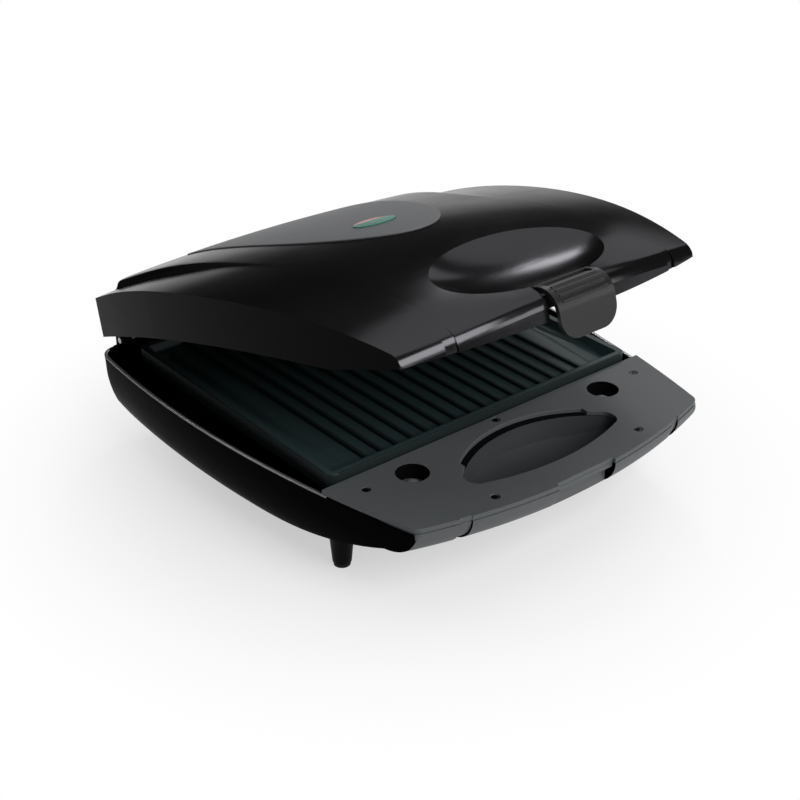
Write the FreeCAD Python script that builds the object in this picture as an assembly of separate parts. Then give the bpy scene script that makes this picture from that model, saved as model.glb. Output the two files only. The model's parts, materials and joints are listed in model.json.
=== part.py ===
"""Sandwich maker: a boat-shaped base and a crowned lid, each with a ribbed plate, and a latch clip.

Millimetres. X runs across the front, Y from the front to the hinge, Z up from the table.
The lid and its latch are drawn closed and then turned about the hinge to the half-open rest
position. Heights named "above the deck" are measured from the top of the front deck.
"""
import FreeCAD
import Part
import math
import os

Vec = FreeCAD.Vector

# Plan of both housings: bowed front, barrel sides, straight rear
HALF_WIDTH = 140.0
WIDEST_Y = 157.0
SIDE_RADIUS = 757.0
FRONT_Y = -66.0
FRONT_RADIUS = 362.0
REAR_Y = 245.0
FRONT_CORNER = 7.0
REAR_CORNER = 12.0
WALL = 2.5

# Base hull
DECK_TOP = 61.0
DECK_THICK = 3.0
HULL_DEPTH = 43.5
HULL_TUCK = 15.0
HULL_STATIONS = (0.0, 0.35, 0.62, 0.82, 0.94, 1.0)
SMALLEST_CORNER = 1.0
NOSE_DEPTH = 18.0
NOSE_REACH = 19.0
BOW_MID_REACH = 66.0
BOW_MID_DEPTH = 34.0
BOW_REACH = 130.0
BOW_DEPTH = 41.5
STERN_REACH = 45.0
STERN_RISE = 13.0
GROOVE_X = 82.8
GROOVE_WIDTH = 7.0
GROOVE_DEPTH = 1.2
GROOVE_FADE = 24.0
GROOVE_REACH = 60.0
FOOT_SIDE_INSET = 32.0
FOOT_FRONT_Y = 22.0
FOOT_REAR_INSET = 40.0
FOOT_TOP_RADIUS = 7.0
FOOT_BOTTOM_RADIUS = 5.6
PAD_RADIUS = 5.0
PAD_THICK = 2.0
PAD_SPIGOT_RADIUS = 2.5
PAD_SPIGOT_LENGTH = 4.0

# Front deck and what is set into it
DECK_BACK_Y = 15.2
DECK_EDGE_GAP = 0.4
OUTER_SCREW_INSET = 33.0
OUTER_SCREW_Y = 0.0
BACK_SCREW_INSET = 4.0
FRONT_SCREW_X = 57.1
FRONT_SCREW_INSET = 15.7
SOCKET_TO_SCREW = 30.7
SOCKET_Y = -2.9
SOCKET_RADIUS = 9.75
SOCKET_DEPTH = 10.0
SOCKET_WALL = 1.5
BUFFER_RADIUS = 6.0
BUFFER_HEIGHT = 5.0
WELL_BACK_Y = 0.0
WELL_FRONT_Y = -44.8
WELL_END = 9.9
WELL_BACK_RADIUS = 82.0
WELL_FRONT_RADIUS = 160.0
WELL_CORNER = 7.0
WELL_DEPTH = 17.0
WELL_WALL = 2.0
SCOOP_SPREAD_X = 1.18
SCOOP_SPREAD_Y = 1.35
SCOOP_BACK_SHARE = 0.25
LEDGE_WIDTH = 4.8
LEDGE_END_INSET = 9.0
FLANGE_WIDTH = 2.0

# Screws
SCREW_RADIUS = 1.45
SCREW_HEAD_RADIUS = 2.5
SCREW_HEAD_THICK = 1.5
SCREW_LENGTH = 8.0
SCREW_HOLE_SPARE = 0.6
SCREW_CLEARANCE = 0.05
SCREW_HEAD_CLEARANCE = 0.15
CROSS_ARM = 1.5
CROSS_SLOT = 0.9
CROSS_DEPTH = 0.8
BOSS_RADIUS = 3.6

# Grill plates
PLATE_GAP_TO_DECK = 1.8
PLATE_SIDE_MARGIN = 21.2
PLATE_REAR_MARGIN = 23.0
PLATE_CORNER = 6.0
PLATE_RIM_ABOVE_DECK = 4.3
PLATE_RIM_WIDTH = 5.0
PLATE_BASIN = 5.3
PLATE_FLOOR = 3.0
PLATE_SKIRT = 10.0
PLATE_BOSS_RADIUS = 5.0
PLATE_BOSS_X = 40.0
PLATE_BOSS_INSET = 55.0
CLOSED_PLATE_GAP = 0.8
RIB_PITCH = 11.5
RIB_SIDE_ROOM = 9.9
RIB_WIDTH = 3.6
RIB_CREST = 2.4
RIB_HEIGHT = 2.5
RIB_END_INSET = 3.2
CHANNEL_SIDE_INSET = 13.3
CHANNEL_DEPTH = 1.6
CHANNEL_FRONT_RADIUS = 7.5
CHANNEL_REAR_RADIUS = 2.6
CHANNEL_FRONT_INSET = 15.5
CHANNEL_NARROW_AT = 62.0

# Heating parts behind each plate
ELEMENT_RADIUS = 3.3
ELEMENT_SIDE_INSET = 40.8
ELEMENT_BEND = 30.0
ELEMENT_FRONT_INSET = 30.0
ELEMENT_REAR_INSET = 14.0
ELEMENT_GAP = 0.1
ELEMENT_PIN_RADIUS = 1.2
ELEMENT_PIN_LENGTH = 9.0
PAN_THICK = 0.8
PAN_DISTANCE = 11.2
PAN_MARGIN = 7.0
PAN_WALL = 6.0
PAN_TAB_SIDE_INSET = 26.8
PAN_TAB_WIDTH = 14.0
PAN_TAB_REACH = 14.0
PAN_HOLE_INSET = 6.0
PAN_SCREW_LENGTH = 5.0
CLAMP_WIDTH = 12.0
CLAMP_THICK = 1.0

# Hinge
HINGE_INSET = 5.0
HINGE_ABOVE_DECK = 2.0
HINGE_EAR_RADIUS = 4.7
HINGE_PIN_RADIUS = 2.0
HINGE_FIT = 0.05
HINGE_SIDE_INSET = 27.0
LID_EAR_WIDTH = 6.0
BASE_EAR_WIDTH = 5.5
LID_WEB_DEPTH = 7.0
LID_WEB_RISE = 9.4
EAR_GAP = 0.4
LID_OPEN_ANGLE = 18.0

# Lid shape: heights above the deck at stations from front to rear, along the middle and the side crease
CROWN_LINE = ((0.0196, 17.5), (0.2484, 39.5), (0.4771, 48.0), (0.7059, 50.5), (1.0065, 44.0))
CREASE_LINE = ((0.0261, 1.0), (0.2484, 26.6), (0.4608, 37.7), (0.6732, 41.8), (1.0065, 32.6))
SHOULDER_STEP = 5.3
SHOULDER_REAR_INSET = 28.0
SHOULDER_FRONT_X = 77.0
SHOULDER_WIDTH = 3.0
SHOULDER_RAMP = 100.0
SHOULDER_FULL_LENGTH = 40.0
SHOULDER_FLARE = 2.4
LIP_RADIUS = 9.6
LIP_SLOPE = 22.0
LID_DRAFT = 5.0
LIP_GAP = 0.8
LIP_ROWS = 6
TOP_ROWS = 13
ROW_CROWDING = 1.4
INNER_COLUMNS = (0.2, 0.4, 0.6, 0.75, 0.87)
OUTER_COLUMNS = (0.2, 0.5, 0.8, 1.0)
COLUMN_MARGIN = 6.0
ARCH_START_Y = 0.0
ARCH_TOP_TO_REAR = 110.0
ARCH_TOP = 13.2
ARCH_REAR = 8.0
DIMPLE_Y = -20.5
DIMPLE_HALF_LENGTH = 65.0
DIMPLE_HALF_WIDTH = 38.0
DIMPLE_DEPTH = 12.0
DIMPLE_SLOPE = 22.0
DIMPLE_SHARE = 0.885
PANEL_THICK = 2.2
PANEL_RECESS = 1.4
PANEL_EDGE_GAP = 0.4
PEG_RADIUS = 7.5
PEG_REST_GAP = 0.4

# Indicator panel and lamps
TONGUE_HALF_WIDTH = 62.0
TONGUE_LENGTH = 145.0
TONGUE_STRAIGHT = 37.0
TONGUE_REAR_GAP = 6.0
TONGUE_PROUD = 0.7
TONGUE_SINK = 1.0
LENS_FROM_TIP = 46.0
LENS_HALF_LENGTH = 15.0
LENS_HALF_WIDTH = 10.0
LENS_PROUD = 0.5
LENS_DROP = 5.0
LENS_SPLIT = 6.0
LENS_FIT = 0.15
LAMP_RADIUS = 3.0
LAMP_LENGTH = 9.0
LAMP_TO_LENS = 1.5
LAMP_SPACING = 13.0
HOLDER_HALF_WIDTH = 14.0
HOLDER_HALF_LENGTH = 17.0
HOLDER_THICK = 2.0
HOLDER_POST = 5.0

# Latch clip on the lid's front lip
LATCH_HALF_WIDTH = 21.0
LATCH_SIDE_GAP = 1.2
LATCH_PIVOT_BACK = 12.0
LATCH_PIVOT_ABOVE_DECK = 15.6
LATCH_BARREL_RADIUS = 3.4
LATCH_PIN_RADIUS = 1.5
LATCH_FIT = 0.05
LATCH_REACH = 6.2
LATCH_DROP = 11.4
LATCH_THICK = 2.8
LATCH_CORNER = 12.0
LATCH_BEND = 14.0
HOOK_BITE = 3.0
HOOK_HEIGHT = 2.4
HOOK_GAP = 0.5
RIDGE_ANGLES = (22.0, 36.0, 50.0, 64.0)
RIDGE_RADIUS = 0.8
RIDGE_END_INSET = 4.0
TOP_POCKET_DEPTH = 2.0
TOP_POCKET_LENGTH = 6.5
TOP_BAR_RADIUS = 0.9
LATCH_EAR_WIDTH = 3.0
LATCH_SWING_IN = 14.0
CATCH_RECESS = 3.4
CATCH_LEDGE_DROP = 6.0
CATCH_POCKET_DEPTH = 5.0

# Rear inlet and wiring parts
INLET_X = -60.0
INLET_ABOVE_FLOOR = 17.0
GLAND_RADIUS = 6.0
GLAND_BORE = 3.6
GLAND_FLANGE = 8.0
GLAND_LIP = 1.5
GLAND_DEPTH = 7.5
BLOCK_SIZE = (30.0, 14.0, 12.0)
BLOCK_BAYS = 3
BLOCK_BAY_RADIUS = 2.5
FUSE_RADIUS = 2.0
FUSE_LENGTH = 16.0
FUSE_LEAD_RADIUS = 0.7
THERMOSTAT_RADIUS = 9.0
THERMOSTAT_HEIGHT = 8.0
THERMOSTAT_TAB_WIDTH = 4.5
THERMOSTAT_TAB_DROP = 6.0

RIM_TOP = DECK_TOP - DECK_THICK
HULL_BOTTOM = RIM_TOP - HULL_DEPTH
HINGE_Y = REAR_Y - HINGE_INSET
HINGE_Z = DECK_TOP + HINGE_ABOVE_DECK
LID_REAR_Y = HINGE_Y
LIP_BOTTOM = DECK_TOP + LIP_GAP
PLATE_FRONT_Y = DECK_BACK_Y + PLATE_GAP_TO_DECK
PLATE_REAR_Y = REAR_Y - PLATE_REAR_MARGIN
LOWER_RIM = DECK_TOP + PLATE_RIM_ABOVE_DECK
UPPER_RIM = LOWER_RIM + CLOSED_PLATE_GAP
PLATE_HALF_WIDTH = HALF_WIDTH - PLATE_SIDE_MARGIN
CHANNEL_X = PLATE_HALF_WIDTH - CHANNEL_SIDE_INSET
RIB_HALF_SPAN = CHANNEL_X - CHANNEL_FRONT_RADIUS - RIB_SIDE_ROOM - RIB_WIDTH / 2
RIB_COUNT = int(2 * RIB_HALF_SPAN / RIB_PITCH) + 1
ELEMENT_LEG_X = PLATE_HALF_WIDTH - ELEMENT_SIDE_INSET
PAN_TAB_X = PLATE_HALF_WIDTH - PAN_TAB_SIDE_INSET
HINGE_X = HALF_WIDTH - HINGE_SIDE_INSET
FOOT_X = HALF_WIDTH - FOOT_SIDE_INSET
SHOULDER_REAR_X = HALF_WIDTH - SHOULDER_REAR_INSET
OUTER_SCREW_X = HALF_WIDTH - OUTER_SCREW_INSET
SOCKET_X = OUTER_SCREW_X - SOCKET_TO_SCREW
DECK_SCREWS = (
    (-OUTER_SCREW_X, OUTER_SCREW_Y),
    (OUTER_SCREW_X, OUTER_SCREW_Y),
    (0.0, DECK_BACK_Y - BACK_SCREW_INSET),
    (-FRONT_SCREW_X, FRONT_Y + FRONT_SCREW_INSET),
    (FRONT_SCREW_X, FRONT_Y + FRONT_SCREW_INSET),
)
TONGUE_CENTRE_Y = LID_REAR_Y - TONGUE_STRAIGHT
LENS_Y = TONGUE_CENTRE_Y - TONGUE_LENGTH + LENS_FROM_TIP
LENS_SPLIT_Y = LENS_Y + LENS_SPLIT
LATCH_Y = FRONT_Y + LATCH_PIVOT_BACK
LATCH_Z = DECK_TOP + LATCH_PIVOT_ABOVE_DECK
NOTCH_HALF = LATCH_HALF_WIDTH + LATCH_SIDE_GAP
FAR = 400.0
DIAGONAL = math.sqrt(0.5)
TRIANGLE_ERROR = 0.1
PARALLEL = 0.99
HALVINGS = 40


# Small shapes

def box(x0, x1, y0, y1, z0, z1):
    """Box between two corners."""
    return Part.makeBox(x1 - x0, y1 - y0, z1 - z0, Vec(x0, y0, z0))


def rod(x, y, z0, z1, radius):
    """Upright round bar."""
    return Part.makeCylinder(radius, z1 - z0, Vec(x, y, z0))


def rod_x(x0, x1, y, z, radius):
    """Round bar along X."""
    return Part.makeCylinder(radius, x1 - x0, Vec(x0, y, z), Vec(1, 0, 0))


def rod_y(x, y0, y1, z, radius):
    """Round bar along Y."""
    return Part.makeCylinder(radius, y1 - y0, Vec(x, y0, z), Vec(0, 1, 0))


def line(a, b):
    """Straight edge."""
    return Part.LineSegment(a, b).toShape()


def arc(a, middle, b):
    """Round edge through three points."""
    return Part.Arc(a, middle, b).toShape()


def fuse(shapes):
    """Join shapes into one."""
    whole = shapes[0].fuse(shapes[1:]) if len(shapes) > 1 else shapes[0]
    return whole.removeSplitter()


def polygon_x(points, half_width):
    """Prism along X with an outline in Y and Z."""
    corners = [Vec(-half_width, y, z) for y, z in points]
    face = Part.Face(Part.makePolygon(corners + corners[:1]))
    return face.extrude(Vec(2 * half_width, 0, 0))


def both_sides(shape):
    """The shape and its mirror image across the middle."""
    return [shape, shape.mirror(Vec(0, 0, 0), Vec(1, 0, 0))]


# Plan outline

def toward(centre, through, distance):
    """Point at a distance from a centre, on the line through another point."""
    direction = through.sub(centre)
    return centre.add(direction.multiply(distance / direction.Length))


def circles_meet(centre_a, radius_a, centre_b, radius_b):
    """Right-hand meeting point of two circles at the front."""
    apart = centre_b.sub(centre_a)
    along = (apart.Length ** 2 + radius_a ** 2 - radius_b ** 2) / (2 * apart.Length)
    across = math.sqrt(radius_a ** 2 - along ** 2)
    unit = Vec(apart).multiply(1 / apart.Length)
    side = Vec(-unit.y, unit.x, 0)
    foot = centre_a.add(Vec(unit).multiply(along))
    ends = [foot.add(Vec(side).multiply(s * across)) for s in (1, -1)]
    return max(ends, key=lambda point: point.x - point.y)


def mirrored(point):
    """The same point on the left."""
    return Vec(-point.x, point.y, point.z)


def plan_wire(inset, z, rear_y=REAR_Y):
    """Housing outline at a height, moved inwards by an inset."""
    front_centre = Vec(0, FRONT_Y + FRONT_RADIUS, z)
    side_centre = Vec(HALF_WIDTH - SIDE_RADIUS, WIDEST_Y, z)
    front_r = FRONT_RADIUS - inset
    side_r = SIDE_RADIUS - inset
    front_c = max(FRONT_CORNER - inset, SMALLEST_CORNER)
    rear_c = max(REAR_CORNER - inset, SMALLEST_CORNER)
    rear_line = rear_y - inset
    near = circles_meet(front_centre, front_r - front_c, side_centre, side_r - front_c)
    rise = rear_line - rear_c - side_centre.y
    far = Vec(side_centre.x + math.sqrt((side_r - rear_c) ** 2 - rise ** 2), rear_line - rear_c, z)
    a = toward(front_centre, near, front_r)
    b = toward(side_centre, near, side_r)
    c = toward(side_centre, far, side_r)
    d = Vec(far.x, rear_line, z)
    corner = toward(near, a.add(b).multiply(0.5), front_c)
    side = toward(side_centre, b.add(c).multiply(0.5), side_r)
    back = toward(far, c.add(d).multiply(0.5), rear_c)
    right = [arc(a, corner, b), arc(b, side, c), arc(c, back, d)]
    left = [
        arc(mirrored(d), mirrored(back), mirrored(c)),
        arc(mirrored(c), mirrored(side), mirrored(b)),
        arc(mirrored(b), mirrored(corner), mirrored(a)),
    ]
    front = arc(mirrored(a), Vec(0, FRONT_Y + inset, z), a)
    return Part.Wire([front] + right + [line(d, mirrored(d))] + left)


def plan_slab(inset, z0, z1, rear_y=REAR_Y):
    """Flat slab with the housing's outline."""
    return Part.Face(plan_wire(inset, z0, rear_y)).extrude(Vec(0, 0, z1 - z0))


# Base

def bow_space(inset):
    """Space under the front: a rounded nose, then the bow running down to the hull."""
    top = Vec(0, FRONT_Y + inset, RIM_TOP)
    nose_mid = Vec(
        0,
        FRONT_Y + (1 - DIAGONAL) * NOSE_REACH + DIAGONAL * inset,
        RIM_TOP - DIAGONAL * (NOSE_DEPTH - inset),
    )
    nose_end = Vec(0, FRONT_Y + NOSE_REACH + (1 - DIAGONAL) * inset, RIM_TOP - NOSE_DEPTH + inset)
    bow_mid = Vec(0, FRONT_Y + BOW_MID_REACH + (1 - DIAGONAL) * inset, RIM_TOP - BOW_MID_DEPTH + inset)
    bow_end = Vec(0, FRONT_Y + BOW_REACH, RIM_TOP - BOW_DEPTH + inset)
    under = Vec(0, bow_end.y, -NOSE_DEPTH)
    outside = Vec(0, FRONT_Y - NOSE_REACH, -NOSE_DEPTH)
    outside_top = Vec(0, outside.y, RIM_TOP)
    edges = [
        arc(top, nose_mid, nose_end),
        arc(nose_end, bow_mid, bow_end),
        line(bow_end, under),
        line(under, outside),
        line(outside, outside_top),
        line(outside_top, top),
    ]
    face = Part.Face(Part.Wire(edges))
    return face.revolve(Vec(0, FRONT_Y + FRONT_RADIUS, 0), Vec(0, 0, 1), 360)


def stern_space(inset):
    """Space under the rising rear end of the hull."""
    start = REAR_Y - STERN_REACH
    slope = STERN_RISE / STERN_REACH
    low = HULL_BOTTOM + inset
    past = STERN_REACH
    points = (
        (start - past, low - slope * past),
        (REAR_Y + past, low + STERN_RISE + slope * past),
        (REAR_Y + past, -past),
        (start - past, -past),
    )
    return polygon_x(points, FAR)


def hull(inset):
    """Boat-shaped body whose sides curve in towards the bottom."""
    depth = HULL_DEPTH - inset
    wires = []
    for share in HULL_STATIONS:
        tuck = HULL_TUCK * (1 - math.sqrt(1 - share ** 2))
        wires.append(plan_wire(inset + tuck, RIM_TOP - share * depth))
    body = Part.makeLoft(wires, True, False)
    return body.cut(bow_space(inset)).cut(stern_space(inset))


def pan_holes():
    """Places of the screws that hold a heat pan to its housing."""
    front = PLATE_FRONT_Y - PAN_TAB_REACH + PAN_HOLE_INSET
    rear = PLATE_REAR_Y + PAN_TAB_REACH - PAN_HOLE_INSET
    return [(x, y) for x in (-PAN_TAB_X, PAN_TAB_X) for y in (front, rear)]


def ear(x0, width, bore):
    """Round hinge eye along X."""
    eye = rod_x(x0, x0 + width, HINGE_Y, HINGE_Z, HINGE_EAR_RADIUS)
    return eye, rod_x(x0 - width, x0 + 2 * width, HINGE_Y, HINGE_Z, bore)


def base_ears(rooted):
    """Two pairs of hinge eyes on posts inside the rear wall."""
    ears = []
    bores = []
    offset = LID_EAR_WIDTH / 2 + EAR_GAP
    for x0 in (HINGE_X + offset, HINGE_X - offset - BASE_EAR_WIDTH):
        eye, bore = ear(x0, BASE_EAR_WIDTH, HINGE_PIN_RADIUS + SCREW_CLEARANCE / 2)
        front = HINGE_Y - HINGE_EAR_RADIUS
        back = HINGE_Y + HINGE_EAR_RADIUS
        foot = box(x0, x0 + BASE_EAR_WIDTH, front, back, HULL_BOTTOM, RIM_TOP).common(rooted)
        neck = box(x0, x0 + BASE_EAR_WIDTH, front, back, RIM_TOP, HINGE_Z)
        ears += both_sides(foot) + both_sides(neck) + both_sides(eye)
        bores += both_sides(bore)
    return ears, bores


def catch_block(outer):
    """Thick stretch of the front wall behind the latch."""
    depth = CATCH_RECESS + CATCH_POCKET_DEPTH + WALL
    half = NOTCH_HALF + WALL
    block = box(-half, half, FRONT_Y - WALL, FRONT_Y + depth, HULL_BOTTOM, RIM_TOP)
    return block.common(outer)


def catch_spaces(top):
    """Recess for the clip in the front wall and the pocket that its hook enters."""
    ledge = DECK_TOP - CATCH_LEDGE_DROP
    back = FRONT_Y + CATCH_RECESS
    recess = box(-NOTCH_HALF, NOTCH_HALF, FRONT_Y - FAR, back, HULL_BOTTOM, top)
    pocket = box(-NOTCH_HALF, NOTCH_HALF, FRONT_Y, back + CATCH_POCKET_DEPTH, HULL_BOTTOM, ledge)
    return recess, pocket


def front_grooves(inner, low, high):
    """Two shallow upright grooves across the front, down to an inner body."""
    half = GROOVE_WIDTH / 2
    back = FRONT_Y + GROOVE_REACH
    strip = box(GROOVE_X - half, GROOVE_X + half, FRONT_Y - WALL, back, low, high)
    return [side.cut(inner) for side in both_sides(strip)]


def inlet_height():
    """Height of the inlet's centre."""
    return HULL_BOTTOM + STERN_RISE + INLET_ABOVE_FLOOR


def base_shell(outer, inner):
    """Lower housing with its screw bosses, hinge eyes, latch catch and cord inlet."""
    shell = outer.cut(inner)
    rooted = hull(WALL / 2)
    posts = [rod(x, y, 0, RIM_TOP, BOSS_RADIUS).common(rooted) for x, y in DECK_SCREWS]
    pan_z = lower_pan_bottom()
    posts += [rod(x, y, 0, pan_z, BOSS_RADIUS).common(rooted) for x, y in pan_holes()]
    ears, bores = base_ears(rooted)
    shell = fuse([shell, catch_block(outer)] + posts + ears)
    pilot = SCREW_RADIUS + SCREW_CLEARANCE
    cuts = list(bores)
    deck_hole = DECK_TOP - SCREW_HEAD_THICK - SCREW_LENGTH - SCREW_HOLE_SPARE
    pan_hole = lower_pan_top() - PAN_SCREW_LENGTH - SCREW_HOLE_SPARE
    cuts += [rod(x, y, deck_hole, RIM_TOP + WALL, pilot) for x, y in DECK_SCREWS]
    cuts += [rod(x, y, pan_hole, pan_z + WALL, pilot) for x, y in pan_holes()]
    cuts += list(catch_spaces(RIM_TOP + WALL))
    cuts += front_grooves(hull(GROOVE_DEPTH), HULL_BOTTOM, RIM_TOP + WALL)
    cuts.append(rod_y(INLET_X, REAR_Y - GLAND_DEPTH, REAR_Y + WALL, inlet_height(), GLAND_RADIUS))
    return shell.cut(cuts)


def foot_places():
    """Centres of the four feet."""
    return [(x, y) for x in (-FOOT_X, FOOT_X) for y in (FOOT_FRONT_Y, REAR_Y - FOOT_REAR_INSET)]


def foot_top():
    """Height that surely lies inside the hull."""
    return RIM_TOP - NOSE_DEPTH


def feet(outer):
    """Four tapered legs under the hull, with a hole for each pad's spigot."""
    legs = []
    for x, y in foot_places():
        height = foot_top() - PAD_THICK
        taper = FOOT_TOP_RADIUS - FOOT_BOTTOM_RADIUS
        top = FOOT_BOTTOM_RADIUS + taper * height / (HULL_BOTTOM + taper)
        leg = Part.makeCone(FOOT_BOTTOM_RADIUS, top, height, Vec(x, y, PAD_THICK)).cut(outer)
        leg = max(leg.Solids, key=lambda solid: -solid.CenterOfMass.z)
        legs.append(leg.cut(rod(x, y, 0, PAD_THICK + PAD_SPIGOT_LENGTH, PAD_SPIGOT_RADIUS)))
    return Part.makeCompound(legs)


def foot_pads():
    """Rubber pads pressed into the feet."""
    pads = []
    for x, y in foot_places():
        spigot = rod(x, y, PAD_THICK, PAD_THICK + PAD_SPIGOT_LENGTH, PAD_SPIGOT_RADIUS)
        pads.append(fuse([rod(x, y, 0, PAD_THICK, PAD_RADIUS), spigot]))
    return Part.makeCompound(pads)


# Front deck

def sagitta(radius, half):
    """Rise of an arc over a half chord."""
    return radius - math.sqrt(radius ** 2 - half ** 2)


def well_half_width():
    """Half width at which the well's two arcs are as far apart as its straight end is high."""
    short = 0.0
    long = min(WELL_FRONT_RADIUS, WELL_BACK_RADIUS)
    for _ in range(HALVINGS):
        half = (short + long) / 2
        rise = sagitta(WELL_FRONT_RADIUS, half) + sagitta(WELL_BACK_RADIUS, half)
        if WELL_BACK_Y - WELL_FRONT_Y - rise > WELL_END:
            short = half
        else:
            long = half
    return short


def lens_body(grow, back_y, z0, z1):
    """Upright oval of a flat front arc and a round back arc with rounded ends."""
    front = rod(0, WELL_FRONT_Y + WELL_FRONT_RADIUS, z0, z1, WELL_FRONT_RADIUS + grow)
    back = rod(0, back_y - WELL_BACK_RADIUS, z0, z1, WELL_BACK_RADIUS + grow)
    half = well_half_width() + grow
    body = front.common(back).common(box(-half, half, -FAR, FAR, z0, z1)).Solids[0]
    upright = []
    for edge in body.Edges:
        vertical = abs(edge.tangentAt(edge.FirstParameter).z) > PARALLEL
        if vertical and abs(edge.CenterOfMass.x) > half / 2:
            upright.append(edge)
    return body.makeFillet(WELL_CORNER + grow, upright)


def well_bowl(grow):
    """Scooped hollow of the finger well, deepest towards the back."""
    top = RIM_TOP
    body = lens_body(grow, WELL_BACK_Y, top - WELL_DEPTH - grow, top)
    depth = WELL_DEPTH + grow
    middle = (WELL_BACK_Y + WELL_FRONT_Y) / 2
    half_depth = (WELL_BACK_Y - WELL_FRONT_Y) / 2 + grow
    scale = FreeCAD.Matrix()
    scale.scale(Vec(SCOOP_SPREAD_X * (well_half_width() + grow), SCOOP_SPREAD_Y * half_depth, depth))
    scoop = Part.makeSphere(1.0).transformGeometry(scale)
    scoop.translate(Vec(0, middle + SCOOP_BACK_SHARE * half_depth, top))
    return body.common(scoop)


def deck_panel():
    """Cover panel over the front of the base, with sockets, screw holes and the well opening."""
    slab = plan_slab(DECK_EDGE_GAP, RIM_TOP, DECK_TOP)
    slab = slab.common(box(-FAR, FAR, -FAR, DECK_BACK_Y, RIM_TOP, DECK_TOP))
    cups = []
    recess, _ = catch_spaces(DECK_TOP + WALL)
    cuts = [recess]
    for x in (-SOCKET_X, SOCKET_X):
        bottom = DECK_TOP - SOCKET_DEPTH
        cups.append(rod(x, SOCKET_Y, bottom - SOCKET_WALL, RIM_TOP, SOCKET_RADIUS + SOCKET_WALL))
        cuts.append(rod(x, SOCKET_Y, bottom, DECK_TOP + WALL, SOCKET_RADIUS))
    for x, y in DECK_SCREWS:
        cuts.append(rod(x, y, RIM_TOP - WALL, DECK_TOP, SCREW_RADIUS + SCREW_CLEARANCE))
        head = SCREW_HEAD_RADIUS + SCREW_HEAD_CLEARANCE
        cuts.append(rod(x, y, DECK_TOP - SCREW_HEAD_THICK, DECK_TOP + WALL, head))
    cuts.append(lens_body(0, WELL_BACK_Y, RIM_TOP - WALL, DECK_TOP + WALL))
    wide = lens_body(0, WELL_BACK_Y + LEDGE_WIDTH, RIM_TOP - WALL, DECK_TOP + WALL)
    half = well_half_width() - LEDGE_END_INSET
    ledge = box(-half, half, WELL_FRONT_Y / 2, FAR, 0, FAR)
    cuts.append(wide.common(ledge))
    cuts += front_grooves(plan_slab(GROOVE_DEPTH, RIM_TOP, DECK_TOP), RIM_TOP, DECK_TOP)
    return fuse([slab] + cups).cut(cuts)


def finger_well():
    """Scooped bowl hung under the deck by its flange."""
    bowl = well_bowl(WELL_WALL)
    flange_top = RIM_TOP
    flange = lens_body(FLANGE_WIDTH, WELL_BACK_Y + LEDGE_WIDTH, flange_top - WELL_WALL, flange_top)
    return fuse([bowl, flange]).cut(well_bowl(0)).cut(deck_bosses())


def deck_bosses():
    """Room that the bosses under the deck need."""
    room = BOSS_RADIUS + SCREW_CLEARANCE
    return [rod(x, y, 0, RIM_TOP, room) for x, y in DECK_SCREWS]


def socket_buffers():
    """Domed rubber buffers at the bottom of the sockets."""
    domes = []
    for x in (-SOCKET_X, SOCKET_X):
        foot = Vec(x, SOCKET_Y, DECK_TOP - SOCKET_DEPTH)
        radius = (BUFFER_RADIUS ** 2 + BUFFER_HEIGHT ** 2) / (2 * BUFFER_HEIGHT)
        ball = Part.makeSphere(radius, foot.add(Vec(0, 0, BUFFER_HEIGHT - radius)))
        stem = rod(x, SOCKET_Y, foot.z, foot.z + BUFFER_HEIGHT, 2 * BUFFER_RADIUS)
        domes.append(ball.common(stem))
    return Part.makeCompound(domes)


def screw(x, y, seat, direction, length):
    """Pan-head screw with a cross recess; the head sits on the seat and the shank points away."""
    outer = seat - direction * SCREW_HEAD_THICK
    head = rod(x, y, min(seat, outer), max(seat, outer), SCREW_HEAD_RADIUS)
    tip = seat + direction * length
    shank = rod(x, y, min(seat, tip), max(seat, tip), SCREW_RADIUS)
    slot = CROSS_SLOT / 2
    low = outer - CROSS_DEPTH
    high = outer + CROSS_DEPTH
    cross = [
        box(x - CROSS_ARM, x + CROSS_ARM, y - slot, y + slot, low, high),
        box(x - slot, x + slot, y - CROSS_ARM, y + CROSS_ARM, low, high),
    ]
    return fuse([head, shank]).cut(cross)


def deck_screws():
    """Screws that hold the deck to the base."""
    seat = DECK_TOP - SCREW_HEAD_THICK
    return Part.makeCompound([screw(x, y, seat, -1, SCREW_LENGTH) for x, y in DECK_SCREWS])


# Grill plates, drawn for the base with the cooking side up

def plate_block(inset, z0, z1):
    """Rounded rectangular block over the plate's outline."""
    half = PLATE_HALF_WIDTH - inset
    block = box(-half, half, PLATE_FRONT_Y + inset, PLATE_REAR_Y - inset, z0, z1)
    upright = [edge for edge in block.Edges if abs(edge.tangentAt(0).z) > PARALLEL]
    return block.makeFillet(max(PLATE_CORNER - inset, SMALLEST_CORNER), upright)


def basin_floor():
    """Height of the plate's cooking floor."""
    return LOWER_RIM - PLATE_BASIN


def plate_back():
    """Height of the plate's underside."""
    return basin_floor() - PLATE_FLOOR


def lower_pan_top():
    """Height of the pan's upper face."""
    return plate_back() - PAN_DISTANCE


def lower_pan_bottom():
    """Height of the pan's lower face."""
    return lower_pan_top() - PAN_THICK


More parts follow.
